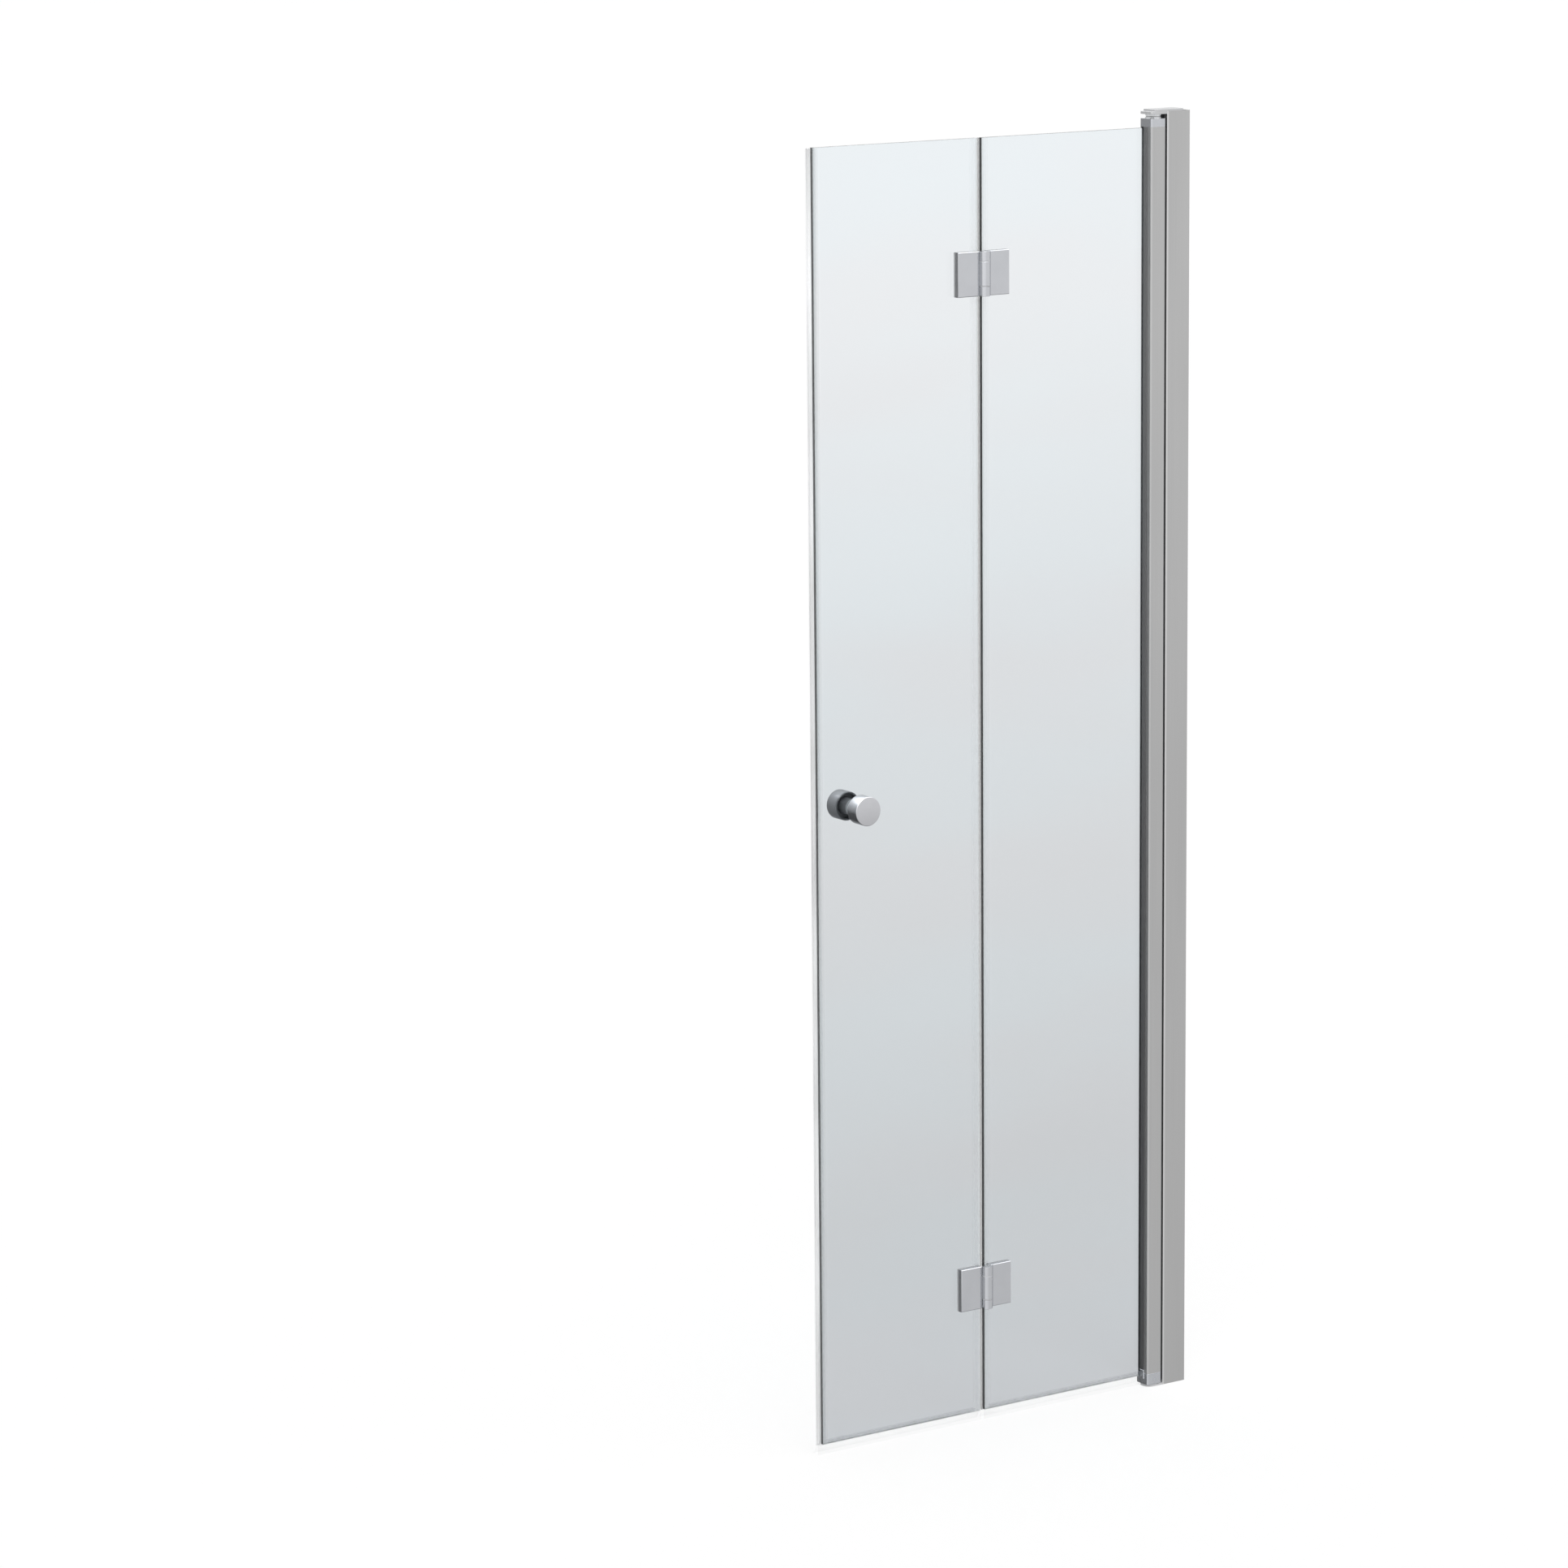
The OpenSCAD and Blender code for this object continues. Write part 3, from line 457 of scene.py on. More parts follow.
finishes = {
    "profile": satinAluminium("satinProfile", profileLook),
    "wall": satinAluminium("wallProfile", wallLook),
    "mill": satinAluminium("innerProfileShaded", innerShadedLook),
    "hinge": polishedChrome("hingeChrome", hingeLook, aroundBarrel, barrelShade),
    "knob": polishedChrome("knobChrome", knobLook, inThroat, knobThroatShade),
    "rearKnobShaded": polishedChrome("rearKnobShadedChrome", rearKnobShadedLook, inThroat, knobThroatShade),
    "casting": castGrey("greyCasting", castingLook),
    "cap": mouldedPlastic("capPlastic", capLook),
    "pale": mouldedPlastic("palePlastic", paleLook),
    "pad": hingePad("hingePad", padLook),
    "rubber": darkRubber("darkRubber", darkLook),
    "magnet": darkRubber("magnetStrip", magnetLook),
    "gasket": stripRubber("gasketRubber", gasketLook),
    "steel": turnedSteel("turnedSteel", steelLook),
    "outerPane": paneGlass("outerPane", door["freeX"], door["foldX"] - door["foldHalf"], paneLook),
    "innerPane": paneGlass("innerPane", door["foldX"] + door["foldHalf"], door["wallX"], paneLook),
    "seal": clearSeal("clearSeal", edgeLook),
    "dripSeal": clearSeal("dripSeal", dripLook),
    "foldSeal": clearSeal("foldSeal", foldLook),
}
print("finishes made:", len(finishes))


# CAD nodes that keep their own mesh

keptNodes = {
    "steel": ("bottom_pin", "top_pin", "hinge_pins", "knob_stud"),
    "pale": ("top_bush", "bottom_bush", "hinge_washers", "inner_cone_washers", "outer_cone_washers",
             "front_knob_washer", "rear_knob_washer"),
    "pad": ("inner_pad_upper", "inner_pad_lower", "outer_pad_upper", "outer_pad_lower"),
    # the adjust profile takes the near-black painted shade of the gap
    "mill": ("adjust_profile",),
    "magnet": ("magnet_strip",),
}
for finish, names in keptNodes.items():
    for name in names:
        mesh = nodes[name].data
        mesh.materials.clear()
        mesh.materials.append(finishes[finish])
print("kept nodes dressed:", sum(len(names) for names in keptNodes.values()))


# what every piece goes through

def handOver(piece, node, body):
    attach(piece, body)
    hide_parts(node)


def plainMesh(obj, name):
    # the evaluated shape as a plain mesh with one finish, and the modifiers gone
    view = bpy.context.evaluated_depsgraph_get()
    mesh = bpy.data.meshes.new_from_object(obj.evaluated_get(view))
    mesh.name = name
    obj.modifiers.clear()
    used = [m for m in mesh.materials if m]
    mesh.materials.clear()
    mesh.materials.append(used[0])
    mesh.polygons.foreach_set("material_index", [0] * len(mesh.polygons))
    old = obj.data
    obj.data = mesh
    bpy.data.meshes.remove(old)


def cleaned(mesh):
    b = bmesh.new()
    b.from_mesh(mesh)
    bmesh.ops.remove_doubles(b, verts=b.verts, dist=weldGap)
    bmesh.ops.dissolve_degenerate(b, edges=b.edges, dist=weldGap)
    bmesh.ops.recalc_face_normals(b, faces=b.faces)
    b.to_mesh(mesh)
    b.free()


squareOn = 0.99995                                                 # a face this much along an axis is flat


def shade(mesh, angle):
    # flat faces stay flat and only the rounded ones are smoothed
    mesh.set_sharp_from_angle(angle=math.radians(angle))
    for face in mesh.polygons:
        face.use_smooth = max(abs(c) for c in face.normal) < squareOn


# pieces made from a CAD copy, with softened edges

softEdge = {"flatBelow": 0.6, "bevelAbove": 32, "smoothBelow": 21}             # in degrees


def softened(node, finish, slotName, body, width, segments, skin=0.0):
    name = node + "-soft"
    mesh = nodes[node].data.copy()
    piece = bpy.data.objects.new(name, mesh)
    scene.collection.objects.link(piece)
    b = bmesh.new()
    b.from_mesh(mesh)
    bmesh.ops.remove_doubles(b, verts=b.verts, dist=weldGap)
    bmesh.ops.dissolve_limit(b, angle_limit=math.radians(softEdge["flatBelow"]), verts=b.verts, edges=b.edges)
    bmesh.ops.recalc_face_normals(b, faces=b.faces)
    b.normal_update()
    moves = [(v, v.normal * v.calc_shell_factor() * skin) for v in b.verts]
    for v, move in moves:                                          # a hair of air around a pane
        v.co -= move
    b.to_mesh(mesh)
    b.free()
    mesh.materials.clear()
    mesh.materials.append(finishes[finish])
    bevel = piece.modifiers.new("softEdges", "BEVEL")
    bevel.width, bevel.segments = width, segments
    bevel.limit_method, bevel.angle_limit = "ANGLE", math.radians(softEdge["bevelAbove"])
    bevel.use_clamp_overlap = True
    plainMesh(piece, name)
    cleaned(piece.data)
    shade(piece.data, softEdge["smoothBelow"])                     # a rounded edge keeps its own light line
    handOver(piece, node, body)


softPieces = {
    # node: finish, slot, body, edge width in metres, segments, thickness taken off all round
    "wall_profile": ("wall", "satin_profile", "frame", 0.0002, 1),
    "top_bracket": ("casting", "grey_casting", "frame", 0.0004, 1),
    "bottom_bracket": ("casting", "grey_casting", "frame", 0.0003, 2),
    "top_cap": ("cap", "cap_plastic", "inner_panel", 0.0004, 2),
    "bottom_cap": ("cap", "cap_plastic", "inner_panel", 0.0004, 1),
    "glazing_gasket": ("gasket", "dark_rubber", "inner_panel", 0.0002, 1),
    "inner_glass": ("innerPane", "clear_glass", "inner_panel", 0.0004, 1, 0.00004),
    "outer_glass": ("outerPane", "clear_glass", "outer_panel", 0.0004, 1, 0.00004),
    "inner_fold_seal": ("foldSeal", "clear_seal", "inner_panel", 0.00012, 1),
    "outer_fold_seal": ("foldSeal", "clear_seal", "outer_panel", 0.00012, 1),
    "inner_leaf_upper": ("hinge", "hinge_chrome", "inner_panel", 0.0003, 2),
    "inner_leaf_lower": ("hinge", "hinge_chrome", "inner_panel", 0.0003, 2),
    "outer_leaf_upper": ("hinge", "hinge_chrome", "outer_panel", 0.0003, 2),
    "outer_leaf_lower": ("hinge", "hinge_chrome", "outer_panel", 0.0003, 2),
}
for node, settings in softPieces.items():
    softened(node, *settings)
print("softened pieces:", len(softPieces))


# strips drawn out from a section: profile, seals and gasket

def treeInputs(tree, inputs, output):
    # named sockets of a geometry tree, and the wires that come from its inputs
    for label, kind, value in inputs:
        socket = tree.interface.new_socket(label, in_out="INPUT", socket_type=kind)
        if value is not None:
            socket.default_value = value
    tree.interface.new_socket(output, in_out="OUTPUT", socket_type="NodeSocketGeometry")
    entry = tree.nodes.new("NodeGroupInput")
    return {s.name: Wire(tree, s) for s in entry.outputs if s.name}


def treeEnd(t, shape, finish):
    shape = t.node("GeometryNodeRealizeInstances", None, {0: shape})
    shape = t.node("GeometryNodeSetMaterial", None, {"Geometry": shape, "Material": finish})
    exitNode = t.tree.nodes.new("NodeGroupOutput")
    t.tree.links.new(shape.socket, exitNode.inputs[0])


def stripTree():
    tree = bpy.data.node_groups.new("drawnStrip", "GeometryNodeTree")
    t = Tree(tree)
    given = treeInputs(tree, (
        ("Section", "NodeSocketGeometry", None), ("Length", "NodeSocketFloat", 1.0),
        ("Corner radius", "NodeSocketFloat", 0.0002), ("Turn", "NodeSocketVector", (0, 0, 0)),
        ("Start", "NodeSocketVector", (0, 0, 0)), ("Finish", "NodeSocketMaterial", None)), "Strip")
    line = t.node("GeometryNodeMeshToCurve", None, {0: given["Section"]})
    line = t.node("GeometryNodeFilletCurve", {"mode": "POLY"},
                  {"Curve": line, "Count": 2, "Radius": given["Corner radius"], "Limit Radius": True})
    flat = t.node("GeometryNodeFillCurve", None, {0: line})
    rise = t.node("ShaderNodeCombineXYZ", None, {2: given["Length"]})
    drawn = t.node("GeometryNodeExtrudeMesh", None,
                   {"Mesh": flat, "Offset": rise, "Offset Scale": 1.0, "Individual": False})
    foot = t.node("GeometryNodeFlipFaces", None, {0: flat})
    whole = t.node("GeometryNodeMergeByDistance", None,
                   {"Geometry": t.join(drawn, foot), "Distance": stripGap})
    whole = t.node("GeometryNodeTransform", None,
                   {"Geometry": whole, "Translation": given["Start"], "Rotation": given["Turn"]})
    treeEnd(t, whole, given["Finish"])
    return tree


def setInput(modifier, label, value):
    for item in modifier.node_group.interface.items_tree:
        if item.item_type == "SOCKET" and item.in_out == "INPUT" and item.name == label:
            modifier[item.identifier] = value


def madeBy(tree, name, mesh, values):
    # an object whose shape comes from a geometry tree
    made = bpy.data.objects.new(name, mesh)
    scene.collection.objects.link(made)
    maker = made.modifiers.new(tree.name, "NODES")
    maker.node_group = tree
    for label, value in values.items():
        setInput(maker, label, value)
    made.update_tag()
    plainMesh(made, name)
    return made


stripMaker = stripTree()
stripSmooth = 35                                                   # degrees, also for the screws


def drawnStrip(name, loops, length, radius, start, finish, turn=(0.0, 0.0, 0.0)):
    mesh = bpy.data.meshes.new(name)
    points, edges = [], []
    for loop in loops:
        first = len(points)
        points += [(x, y, 0.0) for x, y in loop]
        edges += [(first + i, first + (i + 1) % len(loop)) for i in range(len(loop))]
    mesh.from_pydata(points, edges, [])
    strip = madeBy(stripMaker, name, mesh, {"Length": length, "Corner radius": radius, "Turn": turn,
                                            "Start": start, "Finish": finishes[finish]})
    cleaned(strip.data)
    shade(strip.data, stripSmooth)
    return strip


def mirrored(points, middle=0.0):
    # the other half of an outline, in the order that closes it
    return [(x, 2 * middle - y) for x, y in reversed(points)]


edgeSeal = {"reach": 0.009, "leg": 0.008, "wall": 0.001, "web": 0.0012, "taper": 0.0006, "magnetWall": 0.0008,
            "corner": 0.00025}


def makeEdgeSeal(s):
    half, xg = door["glassHalf"], door["freeX"]
    x0, web, w = xg - s["reach"], xg - s["web"], s["magnetWall"]
    y, box = half + s["wall"], half + s["wall"] / 2
    outside = [(x0, -box), (web, -box), (web + s["taper"], -y), (xg + s["leg"], -y), (xg + s["leg"], -half),
               (xg, -half)]
    inside = [(x0 + w, -box + w), (web, -box + w)]
    foot, length = door["glassBottom"], door["glassTop"] - door["glassBottom"]
    strip = drawnStrip("edge_seal-strip", [outside + mirrored(outside), inside + mirrored(inside)], length,
                       s["corner"], (0, 0, foot), "seal")
    handOver(strip, "edge_seal", "outer_panel")


# the legs stay "atEdge" from the free edge and "atFold" from the fold, clear of the seals there
dripSeal = {"web": 0.0012, "leg": 0.006, "wall": 0.001, "trayGap": 0.0008, "reach": 0.009, "corner": 0.0002,
            "fin": 0.0009, "steps": 8, "sweep": 1.6, "tipLift": 0.0012, "tipDrop": 0.0003,
            "frontThin": 0.8, "frontLap": 0.0002, "atEdge": 0.0083, "atFold": 0.0148}


def joined(name, parts, finish):
    # several meshes in one object at the origin
    b = bmesh.new()
    for part in parts:
        b.from_mesh(part.data)
    mesh = bpy.data.meshes.new(name)
    b.to_mesh(mesh)
    b.free()
    mesh.materials.append(finishes[finish])
    mesh.polygons.foreach_set("material_index", [0] * len(mesh.polygons))
    whole = bpy.data.objects.new(name, mesh)
    scene.collection.objects.link(whole)
    for part in parts:
        old = part.data
        bpy.data.objects.remove(part)
        bpy.data.meshes.remove(old)
    shade(mesh, stripSmooth)
    return whole


def makeDripSeal(name, node, body, x0, x1, leg0, leg1, s):
    # the section is drawn in Y and Z, then turned so that its length runs along X
    half, top, fin, tray = door["glassHalf"], door["glassBottom"], s["fin"], s["trayGap"]
    y, under = half + s["wall"], top - s["web"]
    outer, inner = [], []
    for i in range(s["steps"] + 1):                                # the fin sweeps out into the shower
        t = i / s["steps"]
        py = half - fin / 2 + (s["reach"] - half) * t ** s["sweep"]
        pz = under - (under - tray - s["tipLift"]) * t
        outer.append((py + fin / 2, pz))
        inner.append((py - fin / 2, pz - s["tipDrop"] * t))
    section = [(-y, top), (y, top), (y, under)] + outer[1:] + inner[:0:-1] + [(half - fin, under)]
    section += [(fin - half, under), (fin * s["frontThin"] - half, tray), (-half - s["frontLap"], tray),
                (-half, under), (-y, under)]
    turn = (math.radians(90), 0.0, math.radians(90))               # section X to row Y, section Y to row Z
    parts = [drawnStrip(name + "-a", [section], x1 - x0, s["corner"], (x0, 0, 0), "dripSeal", turn)]
    for low, high in ((-y, -half), (half, y)):
        leg = [(low, top), (high, top), (high, top + s["leg"]), (low, top + s["leg"])]
        parts.append(drawnStrip(name + "-b", [leg], leg1 - leg0, s["corner"], (leg0, 0, 0), "dripSeal", turn))
    handOver(joined(name, parts, "dripSeal"), node, body)


gapGasket = {"lip": 0.0012, "shoulder": 0.0016, "step": 0.0004, "tongue": 0.001, "corner": 0.0003}


def makeGapGasket(s):
    low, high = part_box("gap_gasket")
    middle, half = (low.y + high.y) / 2, (high.y - low.y) / 2
    side, root = middle - half, door["mouthX"]
    outline = [(low.x, side), (low.x + s["lip"], side), (low.x + s["shoulder"], side + s["step"]),
               (root, side + s["step"]), (root, middle - s["tongue"]), (high.x, middle - s["tongue"])]
    strip = drawnStrip("gap_gasket-strip", [outline + mirrored(outline, middle)], high.z - low.z, s["corner"],
                       (0, 0, low.z), "rubber")
    handOver(strip, "gap_gasket", "frame")


def capLoops(node):
    # the closed outlines of the flat face at the foot of a node
    b = bmesh.new()
    b.from_mesh(nodes[node].data)
    bmesh.ops.remove_doubles(b, verts=b.verts, dist=weldGap)
    foot = min(v.co.z for v in b.verts)
    inCap = {f for f in b.faces if all(abs(v.co.z - foot) < stripGap for v in f.verts)}
    border = [e for e in b.edges if sum(f in inCap for f in e.link_faces) == 1]
    following = {}
    for e in border:
        for v, w in (e.verts, reversed(e.verts)):
            following.setdefault(v, []).append(w)
    loops, left = [], set(following)
    while left:
        first = min(left, key=lambda v: v.index)
        loop, here, last = [], first, None
        while True:
            loop.append((here.co.x, here.co.y))
            left.discard(here)
            ahead = [w for w in following[here] if w != last]
            here, last = ahead[0], here
            if here == first:
                break
        loops.append(loop)
    b.free()
    return loops


pivotProfile = {"corner": 0.00015}


def makePivotProfile(s):
    low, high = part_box("pivot_profile")
    strip = drawnStrip("pivot_profile-strip", capLoops("pivot_profile"), high.z - low.z, s["corner"],
                       (0, 0, low.z), "profile")
    handOver(strip, "pivot_profile", "inner_panel")


makePivotProfile(pivotProfile)
makeEdgeSeal(edgeSeal)
outerLow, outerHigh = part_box("outer_drip_seal")
innerLow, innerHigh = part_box("inner_drip_seal")
makeDripSeal("outer_drip-strip", "outer_drip_seal", "outer_panel", outerLow.x, outerHigh.x,
             door["freeX"] + dripSeal["atEdge"], door["foldX"] - dripSeal["atFold"], dripSeal)
makeDripSeal("inner_drip-strip", "inner_drip_seal", "inner_panel", innerLow.x, innerHigh.x,
             door["foldX"] + dripSeal["atFold"], innerHigh.x, dripSeal)
makeGapGasket(gapGasket)
print("strips drawn")


# screws, one tree for every size

screwBuild = {"sides": 40, "shankSides": 24, "lap": 0.00005, "coneIn": 0.995, "shankIn": 0.98}


def screwTree(s):
    # cone, rim and shank reach a little into each other, and a hexagon key is cut out
    tree = bpy.data.node_groups.new("sunkScrews", "GeometryNodeTree")
    t = Tree(tree)
    g = treeInputs(tree, (
        ("Places", "NodeSocketGeometry", None), ("Head radius", "NodeSocketFloat", 0.0033),
        ("Shank radius", "NodeSocketFloat", 0.00175), ("Length", "NodeSocketFloat", 0.018),
        ("Head height", "NodeSocketFloat", 0.00155), ("Rim", "NodeSocketFloat", 0.0002),
        ("Socket radius", "NodeSocketFloat", 0.001), ("Socket depth", "NodeSocketFloat", 0.0011),
        ("Finish", "NodeSocketMaterial", None)), "Screws")

    def moved(shape, z):
        shift = t.node("ShaderNodeCombineXYZ", None, {2: z})
        return t.node("GeometryNodeTransform", None, {"Geometry": shape, "Translation": shift})

    def rod(sides, radius, depth):
        return t.node("GeometryNodeMeshCylinder", None, {"Vertices": sides, "Radius": radius, "Depth": depth})

    cone = t.node("GeometryNodeMeshCone", None,
                  {"Vertices": s["sides"], "Radius Top": g["Head radius"] * s["coneIn"],
                   "Radius Bottom": g["Shank radius"], "Depth": g["Head height"] - g["Rim"] + s["lap"]})
    cone = moved(cone, 0 - g["Head height"])
    rim = moved(rod(s["sides"], g["Head radius"], g["Rim"]), 0 - g["Rim"] * 0.5)
    long = g["Length"] - g["Head height"] + s["lap"]
    shank = moved(rod(s["shankSides"], g["Shank radius"] * s["shankIn"], long), long * 0.5 - g["Length"])
    key = rod(6, g["Socket radius"], g["Socket depth"] * 2)
    screw = t.node("GeometryNodeMeshBoolean", {"operation": "UNION", "solver": "MANIFOLD"}, {"Mesh 2": cone})
    for piece in (rim, shank):
        tree.links.new(piece.socket, screw.socket.node.inputs["Mesh 2"])
    screw = t.node("GeometryNodeMeshBoolean", {"operation": "DIFFERENCE", "solver": "MANIFOLD"},
                   {"Mesh 1": screw, "Mesh 2": key})
    aim = t.node("GeometryNodeInputNamedAttribute", {"data_type": "FLOAT_VECTOR"}, {"Name": "aim"})
    turn = t.node("FunctionNodeAlignRotationToVector", {"axis": "Z"}, {"Vector": aim})
    many = t.node("GeometryNodeInstanceOnPoints", None,
                  {"Points": g["Places"], "Instance": screw, "Rotation": turn})
    treeEnd(t, many, g["Finish"])
    return tree


def endPlaces(columns, y, top, foot):
    # a screw at the top and one at the foot of each column, with the way that its head looks
    return [((x, y, z), (0, 0, way)) for x in columns for z, way in ((top, 1), (foot, -1))]


def leafPlaces(side):
    # two screws in each leaf on one side of the fold
    x, up = door["foldX"] + side * leafScrews["out"], leafScrews["up"]
    return [((x, door["glassHalf"], z + way * up), (0, 1, 0)) for z in door["hingeZ"] for way in (-1, 1)]


sunkScrew = {"Head radius": 0.0033, "Shank radius": 0.00175, "Head height": 0.00155}
lockScrew = {"Head radius": 0.0035, "Shank radius": 0.00175, "Length": 0.0092, "Head height": 0.0022,
             "Rim": 0.0016, "Socket radius": 0.0014, "Socket depth": 0.0012}
glassScrew = {"Head radius": 0.00695, "Shank radius": 0.003, "Length": 0.0132, "Head height": 0.00395,
              "Socket radius": 0.0022, "Socket depth": 0.002}
leafScrews = {"out": 0.02705, "up": 0.018}
screwSets = {
    # node: body, places, sizes
    "bracket_screws": ("frame", endPlaces((0.303, 0.318), -0.0075, 1.95, 0), {**sunkScrew, "Length": 0.018}),
    "cap_screws": ("inner_panel", endPlaces((0.2692, 0.2878), -0.0168, 1.9365, 0.00345),
                   {**sunkScrew, "Length": 0.022}),
    "adjust_screws": ("frame", [((0.3105, 0.0082, z), (0, 1, 0)) for z in (0.12, 0.975, 1.83)], lockScrew),
    "inner_glass_screws": ("inner_panel", leafPlaces(1), glassScrew),
    "outer_glass_screws": ("outer_panel", leafPlaces(-1), glassScrew),
}


def makeScrews(node, body, places, sizes):
    mesh = bpy.data.meshes.new(node)
    mesh.from_pydata([place for place, aim in places], [], [])
    aims = mesh.attributes.new("aim", "FLOAT_VECTOR", "POINT")
    for i, (place, aim) in enumerate(places):
        aims.data[i].vector = aim
    screws = madeBy(screwMaker, node + "-set", mesh, {**sizes, "Finish": finishes["steel"]})
    screws.data.set_sharp_from_angle(angle=math.radians(stripSmooth))
    handOver(screws, node, body)


screwMaker = screwTree(screwBuild)
for node, (body, places, sizes) in screwSets.items():
    makeScrews(node, body, places, sizes)
print("screws set:", sum(len(places) for body, places, sizes in screwSets.values()))


# turned knobs

knobShape = {"head": 0.0215, "neck": 0.012, "bore": 0.003, "reach": 0.036, "headLength": 0.023,
             "washer": 0.0008, "wall": 0.0026, "recess": 0.009, "round": 0.001, "edge": 0.0004,
             "steps": 96, "smoothBelow": 40}


def arc(cx, cy, r, start, end, count=5):
    angles = [math.radians(start + (end - start) * i / count) for i in range(count + 1)]
    return [(cx + r * math.cos(a), cy + r * math.sin(a)) for a in angles]


def makeKnob(name, node, out, finish, k):
    # out is -1 for the knob outside the shower and 1 for the one inside
    back, r, edge = k["reach"] - k["headLength"], k["round"], k["edge"]
    inner, floor = k["head"] - k["wall"], back + k["recess"]
    outline = [(k["bore"], k["washer"]), (k["neck"] - edge, k["washer"]), (k["neck"], k["washer"] + edge)]
    outline += [(k["neck"], floor), (inner, floor)]
    outline += arc(inner + edge, back + edge, edge, 180, 270, 2)
    outline += arc(k["head"] - r, back + r, r, -90, 0)
    outline += arc(k["head"] - r, k["reach"] - r, r, 0, 90)
    outline += [(0.0, k["reach"])]
    b = bmesh.new()
    x, z, steps = door["knobX"], door["knobZ"], k["steps"]
    turns = [2 * math.pi * i / steps for i in range(steps)]
    rings = []
    for radius, away in outline:
        y = out * (door["glassHalf"] + away)
        if radius == 0:
            rings.append([b.verts.new((x, y, z))] * steps)
        else:
            rings.append([b.verts.new((x + radius * math.cos(a), y, z + radius * math.sin(a)))
                          for a in turns])
    for near, far in zip(rings, rings[1:]):
        for i in range(steps):
            j = (i + 1) % steps
            b.faces.new(list(dict.fromkeys([near[i], near[j], far[j], far[i]])))
    b.faces.new(list(reversed(rings[0])))
    bmesh.ops.recalc_face_normals(b, faces=b.faces)
    mesh = bpy.data.meshes.new(name)
    b.to_mesh(mesh)
    b.free()
    mesh.materials.append(finishes[finish])
    mesh.polygons.foreach_set("use_smooth", [True] * len(mesh.polygons))
    mesh.set_sharp_from_angle(angle=math.radians(k["smoothBelow"]))
    knob = bpy.data.objects.new(name, mesh)
    scene.collection.objects.link(knob)
    handOver(knob, node, "outer_panel")


makeKnob("front_knob-turned", "front_knob", -1, "knob", knobShape)
makeKnob("rear_knob-turned", "rear_knob", 1, "rearKnobShaded", knobShape)
print("knobs turned")


# camera, floor and light

viewPoint = {"place": (-4.757, -6.432, 2.504), "yaw": 34.21, "pitch": 10.84, "roll": -0.54, "lens": 126.5,
             "sensor": 36.0, "farthest": 400.0}


def makeCamera(v):
    yaw, pitch, roll = (math.radians(v[k]) for k in ("yaw", "pitch", "roll"))
    ahead = Vector((math.sin(yaw) * math.cos(pitch), math.cos(yaw) * math.cos(pitch), -math.sin(pitch)))
    right = Vector((math.cos(yaw), -math.sin(yaw), 0))
    up = right.cross(ahead)
    side, top = right * math.cos(roll) + up * math.sin(roll), up * math.cos(roll) - right * math.sin(roll)
    data = bpy.data.cameras.new("photoView")
    data.lens, data.sensor_width, data.clip_end = v["lens"], v["sensor"], v["farthest"]
    camera = bpy.data.objects.new("photoView", data)
    scene.collection.objects.link(camera)
    turn = Matrix((side, top, -ahead)).transposed().to_4x4()
    camera.matrix_world = Matrix.Translation(v["place"]) @ turn
    scene.camera = camera


studioFloor = {"size": 120.0, "drop": 0.0002, "paint": (0.99, 0.99, 0.99), "glow": 0.7}


def makeFloor(s):
    mesh = bpy.data.meshes.new("studioFloor")
    h = s["size"] / 2
    mesh.from_pydata([(-h, -h, 0), (h, -h, 0), (h, h, 0), (-h, h, 0)], [], [(0, 1, 2, 3)])
    floor = bpy.data.objects.new("studioFloor", mesh)
    floor.location.z = -s["drop"]
    scene.collection.objects.link(floor)
    f = Finish("studioFloor")
    paint = f.node("ShaderNodeBsdfDiffuse", None, {0: s["paint"]})
    white = f.node("ShaderNodeEmission", None, {0: (1, 1, 1), 1: 1.0})
    paint = f.node("ShaderNodeMixShader", None, {0: s["glow"], 1: paint, 2: white})
    # reflections look past the floor
    inMirror = f.node("ShaderNodeLightPath", None, None, "Glossy Depth").atMost(1.0)
    unseen = f.node("ShaderNodeBsdfTransparent")
    mesh.materials.append(f.done(f.node("ShaderNodeMixShader", None, {0: inMirror, 1: paint, 2: unseen})))


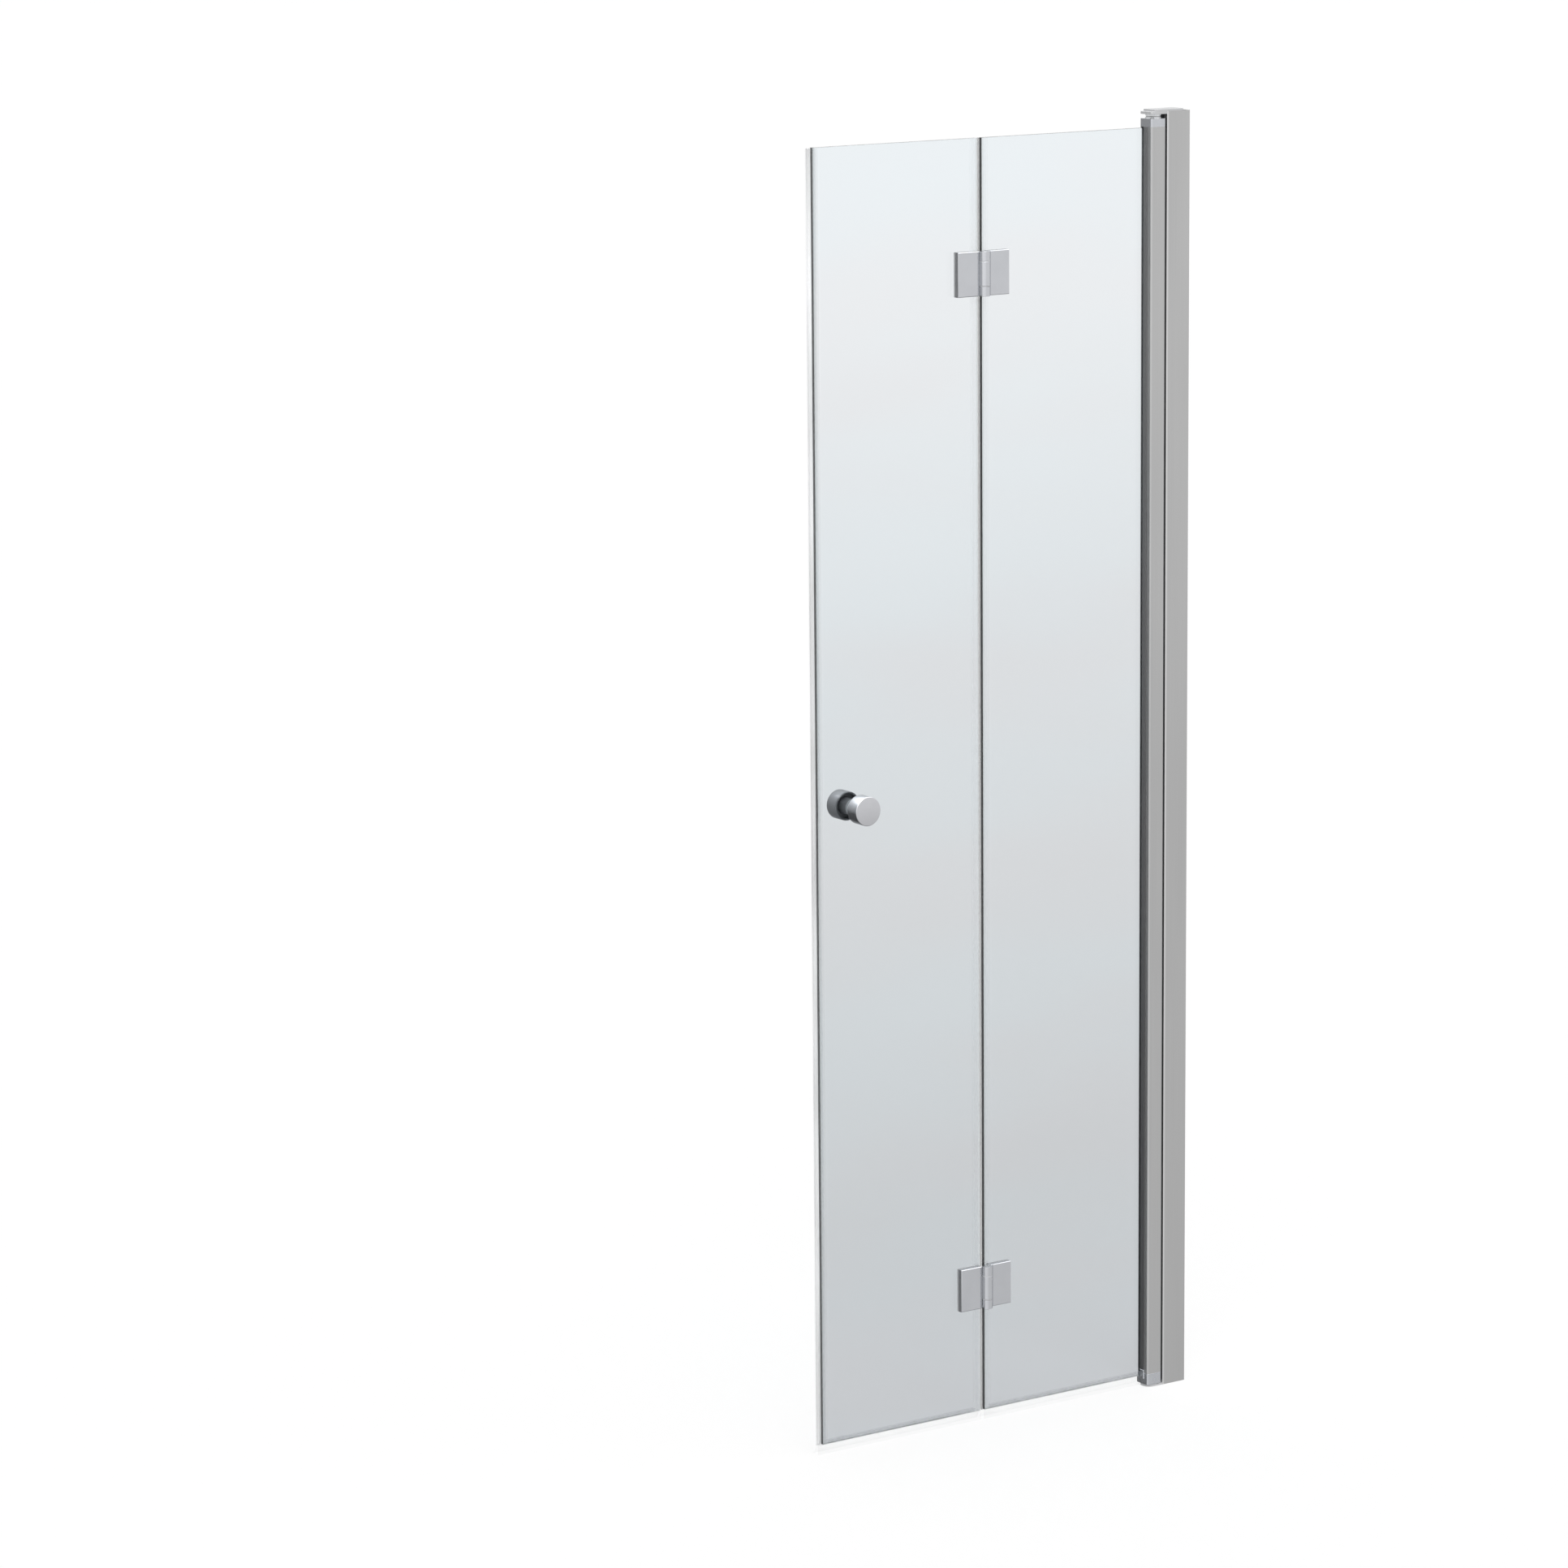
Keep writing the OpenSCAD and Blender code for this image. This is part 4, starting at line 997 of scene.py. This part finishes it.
# what the metal mirrors: a light room that is darker low down behind the door
studioRoom = {
    "mirror": 0.725, "rise": 0.6, "darkest": 0.05, "ambient": 0.81,
    "besideWay": (-0.83, -0.557), "besideFrom": (0.5, 0.95), "besideLight": 0.14,
    "behindWay": (-0.562, 0.827), "behindFrom": (0.35, 0.95), "behindDark": 0.4, "behindFade": 0.3,
    "lowUpTo": (0.2, 0.6), "overheadFrom": (0.42, 0.62), "overhead": 0.8,
}


def makeRoom(r):
    world = bpy.data.worlds.new("studio")
    world.use_nodes = True
    scene.world = world
    t = Tree(world.node_tree)
    world.node_tree.nodes.clear()
    way = t.node("ShaderNodeTexCoord")
    x, y, z = (t.node("ShaderNodeSeparateXYZ", None, {0: way}, i) for i in range(3))
    beside = x * r["besideWay"][0] + y * r["besideWay"][1]
    behind = x * r["behindWay"][0] + y * r["behindWay"][1]
    low = 1 - t.smooth(z, *r["lowUpTo"])
    mirror = r["mirror"] + z * r["rise"] + t.smooth(beside, *r["besideFrom"]) * r["besideLight"]
    mirror = mirror - t.smooth(behind, *r["behindFrom"]) * low * (r["behindDark"] - z * r["behindFade"])
    mirror = (mirror + t.smooth(z, *r["overheadFrom"]) * r["overhead"]).atLeast(r["darkest"])
    # 1 for what a piece mirrors, also where it is seen through a pane
    glossy = t.node("ShaderNodeLightPath", None, None, "Glossy Depth").atMost(1.0)
    camera = t.node("ShaderNodeLightPath", None, None, "Is Camera Ray")
    through = t.node("ShaderNodeLightPath", None, None, "Is Transmission Ray")
    seen = camera.atLeast(through)
    strength = glossy * mirror + (1 - glossy) * (seen + (1 - seen) * r["ambient"])
    back = t.node("ShaderNodeBackground", None, {0: (1, 1, 1), 1: strength})
    out = world.node_tree.nodes.new("ShaderNodeOutputWorld")
    world.node_tree.links.new(back.socket, out.inputs[0])


softSun = {"strength": 0.85, "turn": (36, 0, -24), "softness": 38.0}


def makeSun(s):
    data = bpy.data.lights.new("softSun", "SUN")
    data.energy, data.angle = s["strength"], math.radians(s["softness"])
    sun = bpy.data.objects.new("softSun", data)
    sun.rotation_euler = [math.radians(a) for a in s["turn"]]
    scene.collection.objects.link(sun)


makeCamera(viewPoint)
makeFloor(studioFloor)
makeRoom(studioRoom)
makeSun(softSun)
scene.view_settings.view_transform = "Standard"
print("camera, floor and light ready")
